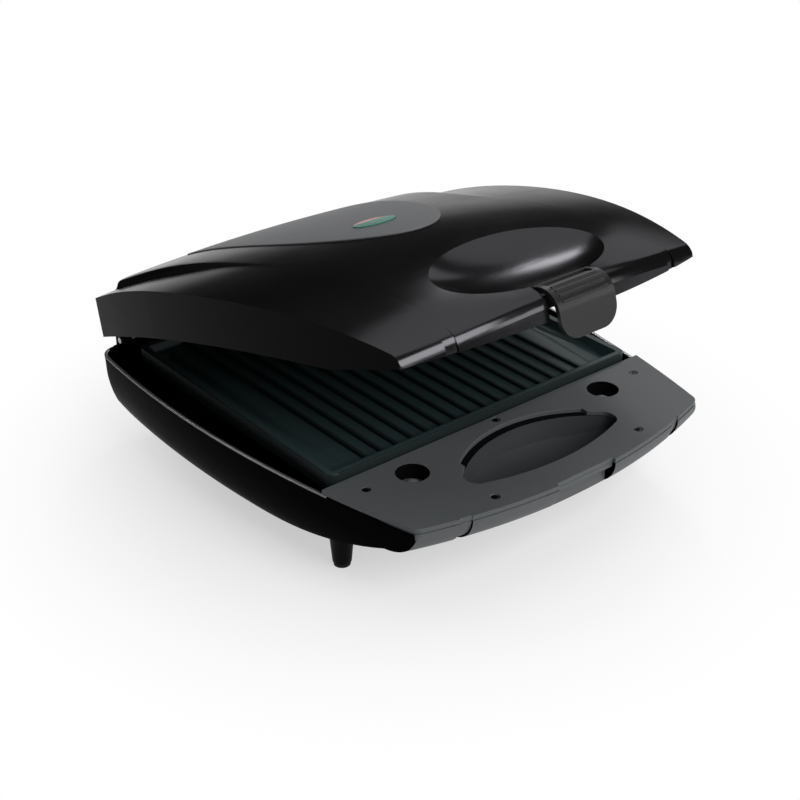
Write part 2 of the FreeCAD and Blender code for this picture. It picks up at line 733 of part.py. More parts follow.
def plate_ribs():
    """Ribs from front to back with sloping flanks."""
    ribs = []
    start = PLATE_FRONT_Y + PLATE_RIM_WIDTH + RIB_END_INSET
    end = PLATE_REAR_Y - PLATE_RIM_WIDTH - RIB_END_INSET
    low = basin_floor() - PLATE_FLOOR / 2
    top = basin_floor() + RIB_HEIGHT
    for index in range(RIB_COUNT):
        x = (index - (RIB_COUNT - 1) / 2) * RIB_PITCH
        foot = RIB_WIDTH / 2
        crest = RIB_CREST / 2
        points = ((x - foot, low), (x + foot, low), (x + crest, top), (x - crest, top))
        corners = [Vec(px, start, pz) for px, pz in points]
        face = Part.Face(Part.makePolygon(corners + corners[:1]))
        ribs.append(face.extrude(Vec(0, end - start, 0)))
    return ribs


def drip_channel():
    """Drip channel on the right: a wide front pocket that narrows to a slot."""
    low = basin_floor() - CHANNEL_DEPTH
    high = LOWER_RIM
    front = PLATE_FRONT_Y + CHANNEL_FRONT_INSET
    narrow = PLATE_FRONT_Y + CHANNEL_NARROW_AT
    rear = PLATE_REAR_Y - CHANNEL_FRONT_INSET
    wide = CHANNEL_FRONT_RADIUS
    slim = CHANNEL_REAR_RADIUS
    points = (
        (CHANNEL_X - wide, front),
        (CHANNEL_X + wide, front),
        (CHANNEL_X + slim, narrow),
        (CHANNEL_X - slim, narrow),
    )
    corners = [Vec(x, y, low) for x, y in points]
    taper = Part.Face(Part.makePolygon(corners + corners[:1])).extrude(Vec(0, 0, high - low))
    slot = box(CHANNEL_X - slim, CHANNEL_X + slim, narrow, rear, low, high)
    ends = [rod(CHANNEL_X, front, low, high, wide), rod(CHANNEL_X, rear, low, high, slim)]
    return fuse([taper, slot] + ends)


def plate_bosses():
    """Places of the screws that clamp a pan to its plate."""
    rows = (PLATE_FRONT_Y + PLATE_BOSS_INSET, PLATE_REAR_Y - PLATE_BOSS_INSET)
    return [(x, y) for x in (-PLATE_BOSS_X, PLATE_BOSS_X) for y in rows]


def grill_plate():
    """Cast plate: raised rim, basin with ribs, drip channels and bosses underneath."""
    block = plate_block(0, LOWER_RIM - PLATE_SKIRT, LOWER_RIM)
    basin = plate_block(PLATE_RIM_WIDTH, basin_floor(), LOWER_RIM + PLATE_BASIN)
    hollow = plate_block(PLATE_FLOOR, LOWER_RIM - 2 * PLATE_SKIRT, plate_back())
    block = block.cut([basin, hollow] + both_sides(drip_channel()))
    bosses = [rod(x, y, lower_pan_top(), plate_back(), PLATE_BOSS_RADIUS) for x, y in plate_bosses()]
    plate = fuse([block] + plate_ribs() + bosses)
    pilot = SCREW_RADIUS + SCREW_CLEARANCE
    top = lower_pan_bottom() + SCREW_LENGTH + SCREW_HOLE_SPARE
    return plate.cut([rod(x, y, lower_pan_bottom(), top, pilot) for x, y in plate_bosses()])


def heating_element():
    """Sheathed tube in a U on the back of the plate, with a terminal pin at each end."""
    z = plate_back() - ELEMENT_GAP - ELEMENT_RADIUS
    rear = PLATE_REAR_Y - ELEMENT_REAR_INSET
    front = PLATE_FRONT_Y + ELEMENT_FRONT_INSET
    bend = ELEMENT_BEND
    leg = ELEMENT_LEG_X
    diagonal = bend * (1 - DIAGONAL)
    start = Vec(-leg, rear, z)
    turn = Vec(-leg, front + bend, z)
    across = Vec(-leg + bend, front, z)
    middle = Vec(-leg + diagonal, front + diagonal, z)
    path = Part.Wire([
        line(start, turn),
        arc(turn, middle, across),
        line(across, mirrored(across)),
        arc(mirrored(across), mirrored(middle), mirrored(turn)),
        line(mirrored(turn), mirrored(start)),
    ])
    section = Part.Wire(Part.makeCircle(ELEMENT_RADIUS, start, Vec(0, -1, 0)))
    tube = path.makePipeShell([section], True, False)
    pin_start = rear - ELEMENT_PIN_LENGTH
    pin_end = rear + ELEMENT_PIN_LENGTH
    pin = rod_y(leg, pin_start, pin_end, z, ELEMENT_PIN_RADIUS)
    return fuse([tube] + both_sides(pin))


def clamp(x, y, across, height):
    """Strap that holds a round piece to the back of the plate."""
    top = plate_back()
    low = top - height - ELEMENT_GAP
    inner = across / 2 + ELEMENT_GAP
    outer = inner + CLAMP_THICK
    front = y - CLAMP_WIDTH / 2
    back = y + CLAMP_WIDTH / 2
    outside = box(x - outer, x + outer, front, back, low - CLAMP_THICK, top)
    return outside.cut(box(x - inner, x + inner, front, back, low, top))


def element_clamps():
    """A strap on each leg of the element."""
    middle = (PLATE_FRONT_Y + PLATE_REAR_Y) / 2
    height = 2 * ELEMENT_RADIUS + ELEMENT_GAP
    straps = [clamp(x, middle, 2 * ELEMENT_RADIUS, height) for x in (-ELEMENT_LEG_X, ELEMENT_LEG_X)]
    return Part.makeCompound(straps)


def heat_pan():
    """Sheet-metal pan behind the element, with four fixing tabs."""
    low = lower_pan_bottom()
    sheet = plate_block(PAN_MARGIN, low, low + PAN_WALL)
    sheet = sheet.cut(plate_block(PAN_MARGIN + PAN_THICK, low + PAN_THICK, low + 2 * PAN_WALL))
    tabs = []
    for x in (-PAN_TAB_X, PAN_TAB_X):
        half = PAN_TAB_WIDTH / 2
        front = PLATE_FRONT_Y - PAN_TAB_REACH
        rear = PLATE_REAR_Y + PAN_TAB_REACH
        inside = PAN_MARGIN + PAN_THICK
        tabs.append(box(x - half, x + half, front, PLATE_FRONT_Y + inside, low, low + PAN_THICK))
        tabs.append(box(x - half, x + half, PLATE_REAR_Y - inside, rear, low, low + PAN_THICK))
    pan = fuse([sheet] + tabs)
    hole = SCREW_RADIUS + 2 * SCREW_CLEARANCE
    places = pan_holes() + plate_bosses()
    return pan.cut([rod(x, y, low - PAN_THICK, low + PAN_WALL, hole) for x, y in places])


def plate_screws():
    """Screws from behind the pan into the plate's bosses."""
    seat = lower_pan_bottom()
    return Part.makeCompound([screw(x, y, seat, 1, SCREW_LENGTH) for x, y in plate_bosses()])


def pan_screws():
    """Screws from the plate's side through the tabs into the housing's posts."""
    seat = lower_pan_top()
    return Part.makeCompound([screw(x, y, seat, -1, PAN_SCREW_LENGTH) for x, y in pan_holes()])


def to_lid(shape):
    """The same piece facing down in the lid."""
    middle = (LOWER_RIM + UPPER_RIM) / 2
    return shape.mirror(Vec(0, 0, middle), Vec(0, 0, 1))


def upper_pan_top():
    """Height of the lid pan's upper face."""
    return LOWER_RIM + UPPER_RIM - lower_pan_bottom()


# Wiring parts

def thermostat():
    """Round snap-action thermostat with two tabs, on the back of the plate."""
    y = (PLATE_FRONT_Y + PLATE_REAR_Y) / 2
    top = plate_back()
    body = rod(0, y, top - THERMOSTAT_HEIGHT, top, THERMOSTAT_RADIUS)
    tab_y = THERMOSTAT_TAB_WIDTH / 2
    low = top - THERMOSTAT_TAB_DROP
    reach = THERMOSTAT_RADIUS + ELEMENT_PIN_LENGTH
    tabs = box(-reach, reach, y - tab_y, y + tab_y, low, low + PAN_THICK)
    return fuse([body, tabs])


def fuse_height():
    """Height of the thermal fuse's centre."""
    return plate_back() - ELEMENT_GAP - FUSE_RADIUS


def thermal_fuse():
    """Thermal fuse lying against the back of the plate."""
    y = (PLATE_FRONT_Y + PLATE_REAR_Y) / 2
    z = fuse_height()
    body = rod_y(0, y - FUSE_LENGTH / 2, y + FUSE_LENGTH / 2, z, FUSE_RADIUS)
    lead = FUSE_LENGTH / 2 + ELEMENT_PIN_LENGTH
    return fuse([body, rod_y(0, y - lead, y + lead, z, FUSE_LEAD_RADIUS)])


def fuse_clip():
    """Strap over the thermal fuse."""
    y = (PLATE_FRONT_Y + PLATE_REAR_Y) / 2
    return clamp(0, y, 2 * FUSE_RADIUS, 2 * FUSE_RADIUS + ELEMENT_GAP)


def terminal_block(inner):
    """Connector block on the base floor beside the inlet."""
    length, depth, height = BLOCK_SIZE
    y = REAR_Y - STERN_REACH
    top = HULL_BOTTOM + WALL + height
    block = box(INLET_X - length / 2, INLET_X + length / 2, y - depth, y, 0, top)
    block = block.common(inner)
    cuts = []
    for index in range(BLOCK_BAYS):
        x = INLET_X + (index - (BLOCK_BAYS - 1) / 2) * length / BLOCK_BAYS
        cuts.append(rod(x, y - depth / 2, top - height / 2, top + height, BLOCK_BAY_RADIUS))
    return block.cut(cuts)


def cord_gland(outer):
    """Bushing in the rear wall for the supply cord."""
    z = inlet_height()
    fit = SCREW_CLEARANCE
    far = REAR_Y + GLAND_LIP
    sleeve = rod_y(INLET_X, REAR_Y - GLAND_DEPTH, far, z, GLAND_RADIUS - fit)
    flange = rod_y(INLET_X, REAR_Y - WALL, far, z, GLAND_FLANGE).cut(outer)
    lip = rod_y(INLET_X, REAR_Y - GLAND_DEPTH, REAR_Y, z, GLAND_FLANGE).common(hull(WALL + fit))
    bore = rod_y(INLET_X, REAR_Y - FAR, REAR_Y + FAR, z, GLAND_BORE)
    return fuse([sleeve, flange, lip]).cut(bore)


def hinge_pins():
    """A pin through each pair of hinge eyes."""
    half = LID_EAR_WIDTH / 2 + EAR_GAP + BASE_EAR_WIDTH
    pin = rod_x(HINGE_X - half, HINGE_X + half, HINGE_Y, HINGE_Z, HINGE_PIN_RADIUS)
    return Part.makeCompound(both_sides(pin))


# Lid, drawn closed

def through_points(points, along):
    """Smooth curve through a few profile points."""
    total = 0.0
    for i, (station, height) in enumerate(points):
        weight = height
        for j, (other, _) in enumerate(points):
            if j != i:
                weight *= (along - other) / (station - other)
        total += weight
    return total


def ease(share):
    """Smooth rise from 0 to 1."""
    share = min(max(share, 0.0), 1.0)
    return share * share * (3 - 2 * share)


def front_at(x):
    """Y of the bowed front at a distance from the middle."""
    return FRONT_Y + FRONT_RADIUS - math.sqrt(FRONT_RADIUS ** 2 - x ** 2)


def fold_at(y):
    """Distance of the shoulder from the middle, flaring out towards the rear."""
    share = max(y - FRONT_Y, 0.0) / (LID_REAR_Y - FRONT_Y)
    return SHOULDER_FRONT_X + (SHOULDER_REAR_X - SHOULDER_FRONT_X) * share ** SHOULDER_FLARE


def lid_height(x, y):
    """Height of the lid's top: a crown between the side creases, with a shoulder near the rear."""
    edge = HALF_WIDTH - SIDE_RADIUS + math.sqrt(SIDE_RADIUS ** 2 - (y - WIDEST_Y) ** 2)
    along = (y - FRONT_Y) / (LID_REAR_Y - FRONT_Y)
    crease = through_points(CREASE_LINE, along)
    crown = through_points(CROWN_LINE, along)
    shoulder_start = LID_REAR_Y - SHOULDER_FULL_LENGTH - SHOULDER_RAMP
    step = SHOULDER_STEP * ease((y - shoulder_start) / SHOULDER_RAMP)
    outside = ease((abs(x) - fold_at(y)) / SHOULDER_WIDTH)
    return DECK_TOP + crease + (crown - crease - step) * (1 - (x / edge) ** 2) + step * (1 - outside)


def columns_at(y):
    """Distances across the lid at which its top is set out, crowded at the shoulder."""
    fold = fold_at(y)
    past = fold + 2 * SHOULDER_WIDTH
    edge = HALF_WIDTH + COLUMN_MARGIN
    right = [share * fold for share in INNER_COLUMNS]
    right += [fold, fold + SHOULDER_WIDTH / 2, fold + SHOULDER_WIDTH, past]
    right += [past + (edge - past) * share for share in OUTER_COLUMNS]
    return [-x for x in reversed(right)] + [0.0] + right


def lip_row(step, inset):
    """Points across the lid at one turn of the front lip's quarter round."""
    radius = LIP_RADIUS - inset
    slope = math.radians(LIP_SLOPE)
    angle = (math.pi / 2 - slope) * step / LIP_ROWS
    points = []
    for x in columns_at(FRONT_Y):
        front = front_at(x) + inset
        end = lid_height(x, front + radius * (1 - math.sin(slope))) - inset
        z = end + radius * (math.sin(angle) - math.cos(slope))
        points.append(Vec(x, front + radius * (1 - math.cos(angle)), z))
    return points


def top_row(row, inset):
    """Points across the lid's top, following the bowed front and straightening towards the rear."""
    share = (row / (TOP_ROWS - 1)) ** ROW_CROWDING
    reach = (LIP_RADIUS - inset) * (1 - math.sin(math.radians(LIP_SLOPE)))
    rear = LID_REAR_Y + WALL
    middle = FRONT_Y + (rear - FRONT_Y) * share
    points = []
    for x in columns_at(middle):
        start = front_at(x) + inset + reach
        y = start + (rear - start) * share
        points.append(Vec(x, y, lid_height(x, y) - inset))
    return points


def end_knots(count):
    """Knots and multiplicities of an open cubic with so many control points."""
    knots = list(range(count - 2))
    return knots, [4] + [1] * (count - 4) + [4]


def lid_body_below(inset):
    """Everything below the lid's top face, with its rounded front lip, lowered by an inset."""
    poles = [lip_row(step, inset) for step in range(LIP_ROWS)]
    poles += [top_row(row, inset) for row in range(TOP_ROWS)]
    u_knots, u_counts = end_knots(len(poles))
    v_knots, v_counts = end_knots(len(poles[0]))
    surface = Part.BSplineSurface()
    surface.buildFromPolesMultsKnots(
        poles, u_counts, v_counts, u_knots, v_knots, False, False, 3, 3
    )
    return surface.toShape().extrude(Vec(0, 0, -FAR / 4))


def lid_plan(inset):
    """Lid's plan with its sides leaning in by the draft."""
    low = LIP_BOTTOM - LIP_RADIUS
    high = low + FAR / 4
    slab = plan_slab(inset, low, high, LID_REAR_Y)
    radius = SIDE_RADIUS - inset
    lean = (high - low) * math.tan(math.radians(LID_DRAFT))
    centre = Vec(HALF_WIDTH - SIDE_RADIUS, WIDEST_Y, low)
    cone = Part.makeCone(radius, radius - lean, high - low, centre)
    for side in both_sides(cone):
        slab = slab.common(side)
    return slab


def dimple(grow):
    """Hand dimple across the front of the lid."""
    crop = math.sqrt(1 - DIMPLE_SHARE ** 2)
    height = DIMPLE_DEPTH / (1 - crop)
    length = DIMPLE_HALF_LENGTH / DIMPLE_SHARE
    width = DIMPLE_HALF_WIDTH / DIMPLE_SHARE
    scale = FreeCAD.Matrix()
    scale.scale(Vec(length + grow, width + grow, height + grow))
    bowl = Part.makeSphere(1.0).transformGeometry(scale)
    bowl.rotate(Vec(0, 0, 0), Vec(1, 0, 0), DIMPLE_SLOPE)
    slope = math.radians(DIMPLE_SLOPE)
    lift = height * crop
    y = DIMPLE_Y - lift * math.sin(slope)
    bowl.translate(Vec(0, y, lid_height(0, DIMPLE_Y) + lift * math.cos(slope)))
    return bowl


def lid_solid(inset):
    """Lid body without its underside cut."""
    return lid_plan(inset).common(lid_body_below(inset)).cut(dimple(inset))


def arch_space():
    """Space below the lid's lower edge, level at the front and arched along the sides."""
    start = Vec(-FAR, ARCH_START_Y, LIP_BOTTOM)
    top = Vec(-FAR, LID_REAR_Y - ARCH_TOP_TO_REAR, DECK_TOP + ARCH_TOP)
    end = Vec(-FAR, LID_REAR_Y, DECK_TOP + ARCH_REAR)
    past = Vec(-FAR, LID_REAR_Y + WALL, end.z)
    before = Vec(-FAR, FRONT_Y - WALL, LIP_BOTTOM)
    under_past = Vec(-FAR, past.y, 0)
    under_before = Vec(-FAR, before.y, 0)
    corners = [end, past, under_past, under_before, before, start]
    edges = [arc(start, top, end)]
    edges += [line(a, b) for a, b in zip(corners, corners[1:])]
    return Part.Face(Part.Wire(edges)).extrude(Vec(2 * FAR, 0, 0))


def panel_bottom():
    """Height of the lid front panel's lower face."""
    return LIP_BOTTOM + PANEL_RECESS


def panel_screw_places():
    """Screws of the lid's front panel, in line with the outer deck screws."""
    return [(x, y) for x, y in DECK_SCREWS if abs(x) > LATCH_HALF_WIDTH]


def notch_back():
    """Rear end of the latch's notch in the lid."""
    return LATCH_Y + LATCH_BARREL_RADIUS + LATCH_SIDE_GAP


def lid_ears():
    """Hinge eyes under the rear of the lid."""
    eye, bore = ear(HINGE_X - LID_EAR_WIDTH / 2, LID_EAR_WIDTH, HINGE_PIN_RADIUS + HINGE_FIT)
    front = HINGE_Y - LID_WEB_DEPTH
    top = DECK_TOP + ARCH_REAR + LID_WEB_RISE
    half = LID_EAR_WIDTH / 2
    web = box(HINGE_X - half, HINGE_X + half, front, HINGE_Y, HINGE_Z, top)
    return both_sides(eye) + both_sides(web), both_sides(bore)


def latch_mount(solid):
    """Walls beside and behind the latch's notch."""
    outside = NOTCH_HALF + LATCH_EAR_WIDTH
    low = panel_bottom() + PANEL_THICK
    back = notch_back()
    reach = 2 * LATCH_BARREL_RADIUS
    cheek = box(NOTCH_HALF, outside, LATCH_Y - reach, back + WALL, low, DECK_TOP + FAR)
    wall = box(-outside, outside, back, back + WALL, low, DECK_TOP + FAR)
    return [piece.common(solid) for piece in both_sides(cheek) + [wall]]


def lid_grooves():
    """The front grooves carried over the lid's lip, fading out on the top."""
    inner = lid_body_below(GROOVE_DEPTH)
    fade = math.degrees(math.atan(GROOVE_DEPTH / GROOVE_FADE))
    inner.rotate(Vec(0, FRONT_Y, DECK_TOP), Vec(1, 0, 0), fade)
    return front_grooves(inner, LIP_BOTTOM - WALL, FAR)


def tongue_outline(grow):
    """Upright body with the indicator panel's outline: a long half oval, square at the rear."""
    half = TONGUE_HALF_WIDTH + grow
    rear = LID_REAR_Y - TONGUE_REAR_GAP + grow
    centre = Vec(0, TONGUE_CENTRE_Y, DECK_TOP)
    tip = Vec(0, TONGUE_CENTRE_Y - TONGUE_LENGTH - grow, DECK_TOP)
    right = Vec(half, TONGUE_CENTRE_Y, DECK_TOP)
    oval = Part.Ellipse(tip, right, centre)
    front = Part.ArcOfEllipse(oval, -math.pi / 2, math.pi / 2).toShape()
    start = front.Vertexes[0].Point
    end = front.Vertexes[-1].Point
    rear_end = Vec(end.x, rear, DECK_TOP)
    rear_start = Vec(start.x, rear, DECK_TOP)
    edges = [front, line(end, rear_end), line(rear_end, rear_start), line(rear_start, start)]
    return Part.Face(Part.Wire(edges)).extrude(Vec(0, 0, FAR / 4))


def window(grow):
    """Upright oval body for the indicator window."""
    centre = Vec(0, LENS_Y, DECK_TOP)
    oval = Part.Ellipse(centre, LENS_HALF_LENGTH + grow, LENS_HALF_WIDTH + grow)
    return Part.Face(Part.Wire(oval.toShape())).extrude(Vec(0, 0, FAR / 4))


def lid_shell():
    """Upper housing: crowned cover with hand dimple, lip, latch notch, posts and hinge eyes."""
    solid = lid_solid(0)
    shell = solid.cut(lid_solid(WALL)).cut(arch_space())
    low = panel_bottom() + PANEL_THICK
    posts = [rod(x, y, upper_pan_top(), FAR, BOSS_RADIUS).common(solid) for x, y in pan_holes()]
    posts += [rod(x, y, low, FAR, BOSS_RADIUS).common(solid) for x, y in panel_screw_places()]
    ears, bores = lid_ears()
    shell = fuse([shell] + posts + ears + latch_mount(solid))
    pilot = SCREW_RADIUS + SCREW_CLEARANCE
    pan_hole = upper_pan_top() - PAN_THICK + PAN_SCREW_LENGTH + SCREW_HOLE_SPARE
    panel_hole = panel_bottom() + SCREW_HEAD_THICK + SCREW_LENGTH + SCREW_HOLE_SPARE
    cuts = list(bores)
    cuts += [rod(x, y, upper_pan_top() - WALL, pan_hole, pilot) for x, y in pan_holes()]
    cuts += [rod(x, y, low - WALL, panel_hole, pilot) for x, y in panel_screw_places()]
    cuts.append(box(-NOTCH_HALF, NOTCH_HALF, -FAR, notch_back(), 0, FAR))
    cuts.append(latch_axle(LATCH_PIN_RADIUS + SCREW_CLEARANCE / 2, WALL))
    cuts += lid_grooves()
    cuts.append(tongue_outline(LENS_FIT).cut(lid_body_below(TONGUE_SINK)))
    cuts.append(window(LENS_FIT))
    return shell.cut(cuts)


def lid_front_panel():
    """Plate that closes the lid's front underside, with two pegs over the deck's sockets."""
    low = panel_bottom()
    inset = WALL + PANEL_EDGE_GAP
    slab = lid_plan(inset).common(box(-FAR, FAR, -FAR, DECK_BACK_Y, low, low + PANEL_THICK))
    slab = slab.common(lid_body_below(inset))
    peg_low = DECK_TOP - SOCKET_DEPTH + BUFFER_HEIGHT + PEG_REST_GAP
    pegs = [rod(x, SOCKET_Y, peg_low, low, PEG_RADIUS) for x in (-SOCKET_X, SOCKET_X)]
    half = NOTCH_HALF + LATCH_EAR_WIDTH + PANEL_EDGE_GAP
    back = notch_back() + WALL + PANEL_EDGE_GAP
    cuts = [box(-half, half, -FAR, back, 0, FAR)]
    for x, y in panel_screw_places():
        cuts.append(rod(x, y, low - WALL, low + WALL, SCREW_RADIUS + 2 * SCREW_CLEARANCE))
        head = SCREW_HEAD_RADIUS + SCREW_HEAD_CLEARANCE
        cuts.append(rod(x, y, low - WALL, low + SCREW_HEAD_THICK, head))
    return fuse([slab] + pegs).cut(cuts)


def panel_screws():
    """Screws that hold the front panel to the lid."""
    seat = panel_bottom() + SCREW_HEAD_THICK
    return Part.makeCompound([screw(x, y, seat, 1, SCREW_LENGTH) for x, y in panel_screw_places()])


# Indicator panel and lamps

def indicator_panel():
    """Tongue-shaped panel let into the lid's top, with an oval window."""
    panel = tongue_outline(0).cut(window(LENS_FIT)).common(lid_body_below(-TONGUE_PROUD))
    return panel.cut(lid_body_below(TONGUE_SINK))


def lens(front, back):
    """Part of the oval indicator lens between two places along Y."""
    side = LENS_HALF_LENGTH + LENS_FIT
    piece = window(0).common(box(-side, side, front, back, 0, FAR))
    piece = piece.common(lid_body_below(-TONGUE_PROUD - LENS_PROUD))
    return piece.cut(lid_body_below(LENS_DROP))


def lens_bottom():
    """Lowest height of the lens."""
    return lid_height(LENS_HALF_LENGTH, LENS_Y - LENS_HALF_WIDTH) - LENS_DROP


def holder_top():
    """Height of the lamp holder's upper face."""
    return lens_bottom() - LAMP_TO_LENS - LAMP_LENGTH


def indicator_lamps():
    """Two small lamps under the lens."""
    lamps = []
    for side in (-1, 1):
        y = LENS_Y + side * LAMP_SPACING / 2
        z = holder_top()
        straight = LAMP_LENGTH - LAMP_RADIUS
        body = rod(0, y, z, z + straight, LAMP_RADIUS)
        lamps.append(fuse([body, Part.makeSphere(LAMP_RADIUS, Vec(0, y, z + straight))]))
    return Part.makeCompound(lamps)


def lamp_holder():
    """Board that carries the lamps on four posts under the lid's top."""
    top = holder_top()
    wide = HOLDER_HALF_WIDTH
    front = LENS_Y - HOLDER_HALF_LENGTH
    back = LENS_Y + HOLDER_HALF_LENGTH
    board = box(-wide, wide, front, back, top - HOLDER_THICK, top)
    posts = []
    for x in (-wide, wide - HOLDER_POST):
        for y in (front, back - HOLDER_POST):
            posts.append(box(x, x + HOLDER_POST, y, y + HOLDER_POST, top, FAR))
    inside = lid_body_below(WALL)
    return fuse([board] + [post.common(inside) for post in posts])


# Latch clip

def latch_axle(radius, past):
    """Round bar through both walls beside the latch, running past them."""
    half = NOTCH_HALF + LATCH_EAR_WIDTH + past
    return rod_x(-half, half, LATCH_Y, LATCH_Z, radius)


def latch_strip():
    """Bent strip of the clip: back from the barrel, round the nose and down."""
    nose = FRONT_Y - LATCH_REACH
    bottom = DECK_TOP - LATCH_DROP
    top = LATCH_Z + LATCH_BARREL_RADIUS
    centre_y = nose + LATCH_BEND
    centre_z = top - LATCH_BEND
    x = -LATCH_HALF_WIDTH
    sides = []
    for radius in (LATCH_BEND, LATCH_BEND - LATCH_THICK):
        along = Vec(x, LATCH_Y, centre_z + radius)
        start = Vec(x, centre_y, centre_z + radius)
        middle = Vec(x, centre_y - DIAGONAL * radius, centre_z + DIAGONAL * radius)
        end = Vec(x, centre_y - radius, centre_z)
        tail = Vec(x, centre_y - radius, bottom)
        sides.append((along, start, middle, end, tail))
    outer, inner = sides
    edges = [
        line(outer[0], outer[1]),
        arc(outer[1], outer[2], outer[3]),
        line(outer[3], outer[4]),
        line(outer[4], inner[4]),
        line(inner[4], inner[3]),
        arc(inner[3], inner[2], inner[1]),
        line(inner[1], inner[0]),
        line(inner[0], outer[0]),
    ]
    return Part.Face(Part.Wire(edges)).extrude(Vec(2 * LATCH_HALF_WIDTH, 0, 0))


def latch_front_outline():
    """Outline of the clip seen from the front, with two rounded lower corners."""
    half = LATCH_HALF_WIDTH
    bottom = DECK_TOP - LATCH_DROP
    block = box(-half, half, FRONT_Y - FAR, FRONT_Y + FAR, bottom, DECK_TOP + FAR)
    lower = []
    for edge in block.Edges:
        along_y = abs(edge.tangentAt(edge.FirstParameter).y) > PARALLEL
        if along_y and edge.CenterOfMass.z < DECK_TOP:
            lower.append(edge)
    return block.makeFillet(LATCH_CORNER, lower)


def latch_hook():
    """Hook across the clip's inside, placed where it lies under the ledge once swung in."""
    ledge = DECK_TOP - CATCH_LEDGE_DROP
    tip = FRONT_Y + CATCH_RECESS + HOOK_BITE
    root = FRONT_Y - LATCH_REACH + LATCH_THICK / 2
    half = LATCH_HALF_WIDTH - LATCH_CORNER
    top = ledge - HOOK_GAP
    low = top - HOOK_HEIGHT
    points = ((tip, top), (tip, top - HOOK_HEIGHT / 2), (root, low - HOOK_HEIGHT), (root, top))
    hook = polygon_x(points, half)
    hook.rotate(Vec(0, LATCH_Y, LATCH_Z), Vec(-1, 0, 0), LATCH_SWING_IN)
    nose = FRONT_Y - LATCH_REACH
    return hook.common(box(-half, half, nose + LATCH_THICK / 2, FAR, 0, FAR))


def latch_ridges():
    """Grip ridges across the bend."""
    centre_y = FRONT_Y - LATCH_REACH + LATCH_BEND
    centre_z = LATCH_Z + LATCH_BARREL_RADIUS - LATCH_BEND
    half = LATCH_HALF_WIDTH - RIDGE_END_INSET
    ridges = []
    for turn in RIDGE_ANGLES:
        angle = math.radians(turn)
        y = centre_y - LATCH_BEND * math.cos(angle)
        z = centre_z + LATCH_BEND * math.sin(angle)
        ridges.append(rod_x(-half, half, y, z, RIDGE_RADIUS))
    return ridges


def latch_clip():
    """Snap clip on the lid's lip that hooks under the catch in the base."""
    half = LATCH_HALF_WIDTH
    barrel = rod_x(-half, half, LATCH_Y, LATCH_Z, LATCH_BARREL_RADIUS)
    clip = fuse([latch_strip(), barrel, latch_hook()] + latch_ridges())
    clip = clip.common(latch_front_outline())
    top = LATCH_Z + LATCH_BARREL_RADIUS
    inside = half - RIDGE_END_INSET
    back = LATCH_Y - LATCH_PIN_RADIUS
    pocket = box(-inside, inside, back - TOP_POCKET_LENGTH, back, top - TOP_POCKET_DEPTH, FAR)
    floor = top - TOP_POCKET_DEPTH
    bar = rod_x(-inside, inside, back - TOP_POCKET_LENGTH / 2, floor, TOP_BAR_RADIUS)
    clip = fuse([clip.cut(pocket), bar])
    return clip.cut(rod_x(-FAR, FAR, LATCH_Y, LATCH_Z, LATCH_PIN_RADIUS + LATCH_FIT))


# Assembly

def base_parts():
    """Pieces that stay still."""
    outer = hull(0)
    inner = hull(WALL)
    return {
        "base_shell": base_shell(outer, inner),
        "feet": feet(outer),
        "foot_pads": foot_pads(),
        "front_deck": deck_panel(),
        "finger_well": finger_well(),
        "deck_screws": deck_screws(),
        "socket_buffers": socket_buffers(),
        "lower_plate": grill_plate(),
        "lower_element": heating_element(),
        "lower_element_clamps": element_clamps(),
        "lower_heat_pan": heat_pan(),
        "lower_plate_screws": plate_screws(),
        "lower_pan_screws": pan_screws(),
        "thermal_fuse": thermal_fuse(),
        "fuse_clip": fuse_clip(),
        "terminal_block": terminal_block(inner),
        "cord_gland": cord_gland(outer),
        "hinge_pins": hinge_pins(),
    }


def lid_parts():
    """Pieces that swing with the lid, drawn closed."""
    return {
        "lid_shell": lid_shell(),
        "lid_front_panel": lid_front_panel(),
        "lid_panel_screws": panel_screws(),
        "upper_plate": to_lid(grill_plate()),
        "upper_element": to_lid(heating_element()),
        "upper_element_clamps": to_lid(element_clamps()),
        "upper_heat_pan": to_lid(heat_pan()),
        "upper_plate_screws": to_lid(plate_screws()),
        "upper_pan_screws": to_lid(pan_screws()),
        "thermostat": to_lid(thermostat()),
        "indicator_panel": indicator_panel(),
        "green_lens": lens(LENS_Y - LENS_HALF_WIDTH, LENS_SPLIT_Y),
        "red_lens": lens(LENS_SPLIT_Y, LENS_Y + LENS_HALF_WIDTH),
        "indicator_lamps": indicator_lamps(),
        "lamp_holder": lamp_holder(),
        "latch_pin": latch_axle(LATCH_PIN_RADIUS, 0.0),
        "latch_clip": latch_clip(),
    }


def assemble():
    """All pieces at rest, centred over the origin, with the joints' places."""
    pivot = Vec(0, HINGE_Y, HINGE_Z)
    opening = Vec(-1, 0, 0)
    parts = base_parts()
    for name, shape in lid_parts().items():
        shape.rotate(pivot, opening, LID_OPEN_ANGLE)
        parts[name] = shape
    bounds = FreeCAD.BoundBox()
    for shape in parts.values():
        for point in shape.tessellate(TRIANGLE_ERROR)[0]:
            bounds.add(point)
    shift = Vec(0, -(bounds.YMin + bounds.YMax) / 2, 0)
    for shape in parts.values():
        shape.translate(shift)
    latch = Part.Vertex(Vec(0, LATCH_Y, LATCH_Z))
    latch.rotate(pivot, opening, LID_OPEN_ANGLE)
    latch.translate(shift)
    print("shift", shift)
    print("lid hinge", pivot.add(shift))
    print("latch pivot", latch.Point)
    return parts


def main():
    """Write one file per piece."""
    os.makedirs("parts", exist_ok=True)
    for name, shape in assemble().items():
        shape.exportStep("parts/" + name + ".step")


main()
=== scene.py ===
"""Looks of the sandwich maker: moulded housings, coated plates, latch and indicator in a white studio."""
import json
import logging
import math
from dataclasses import dataclass
from enum import Enum
from functools import cache
from typing import Any, Callable

import bmesh
import bpy
from mathutils import Matrix, Vector

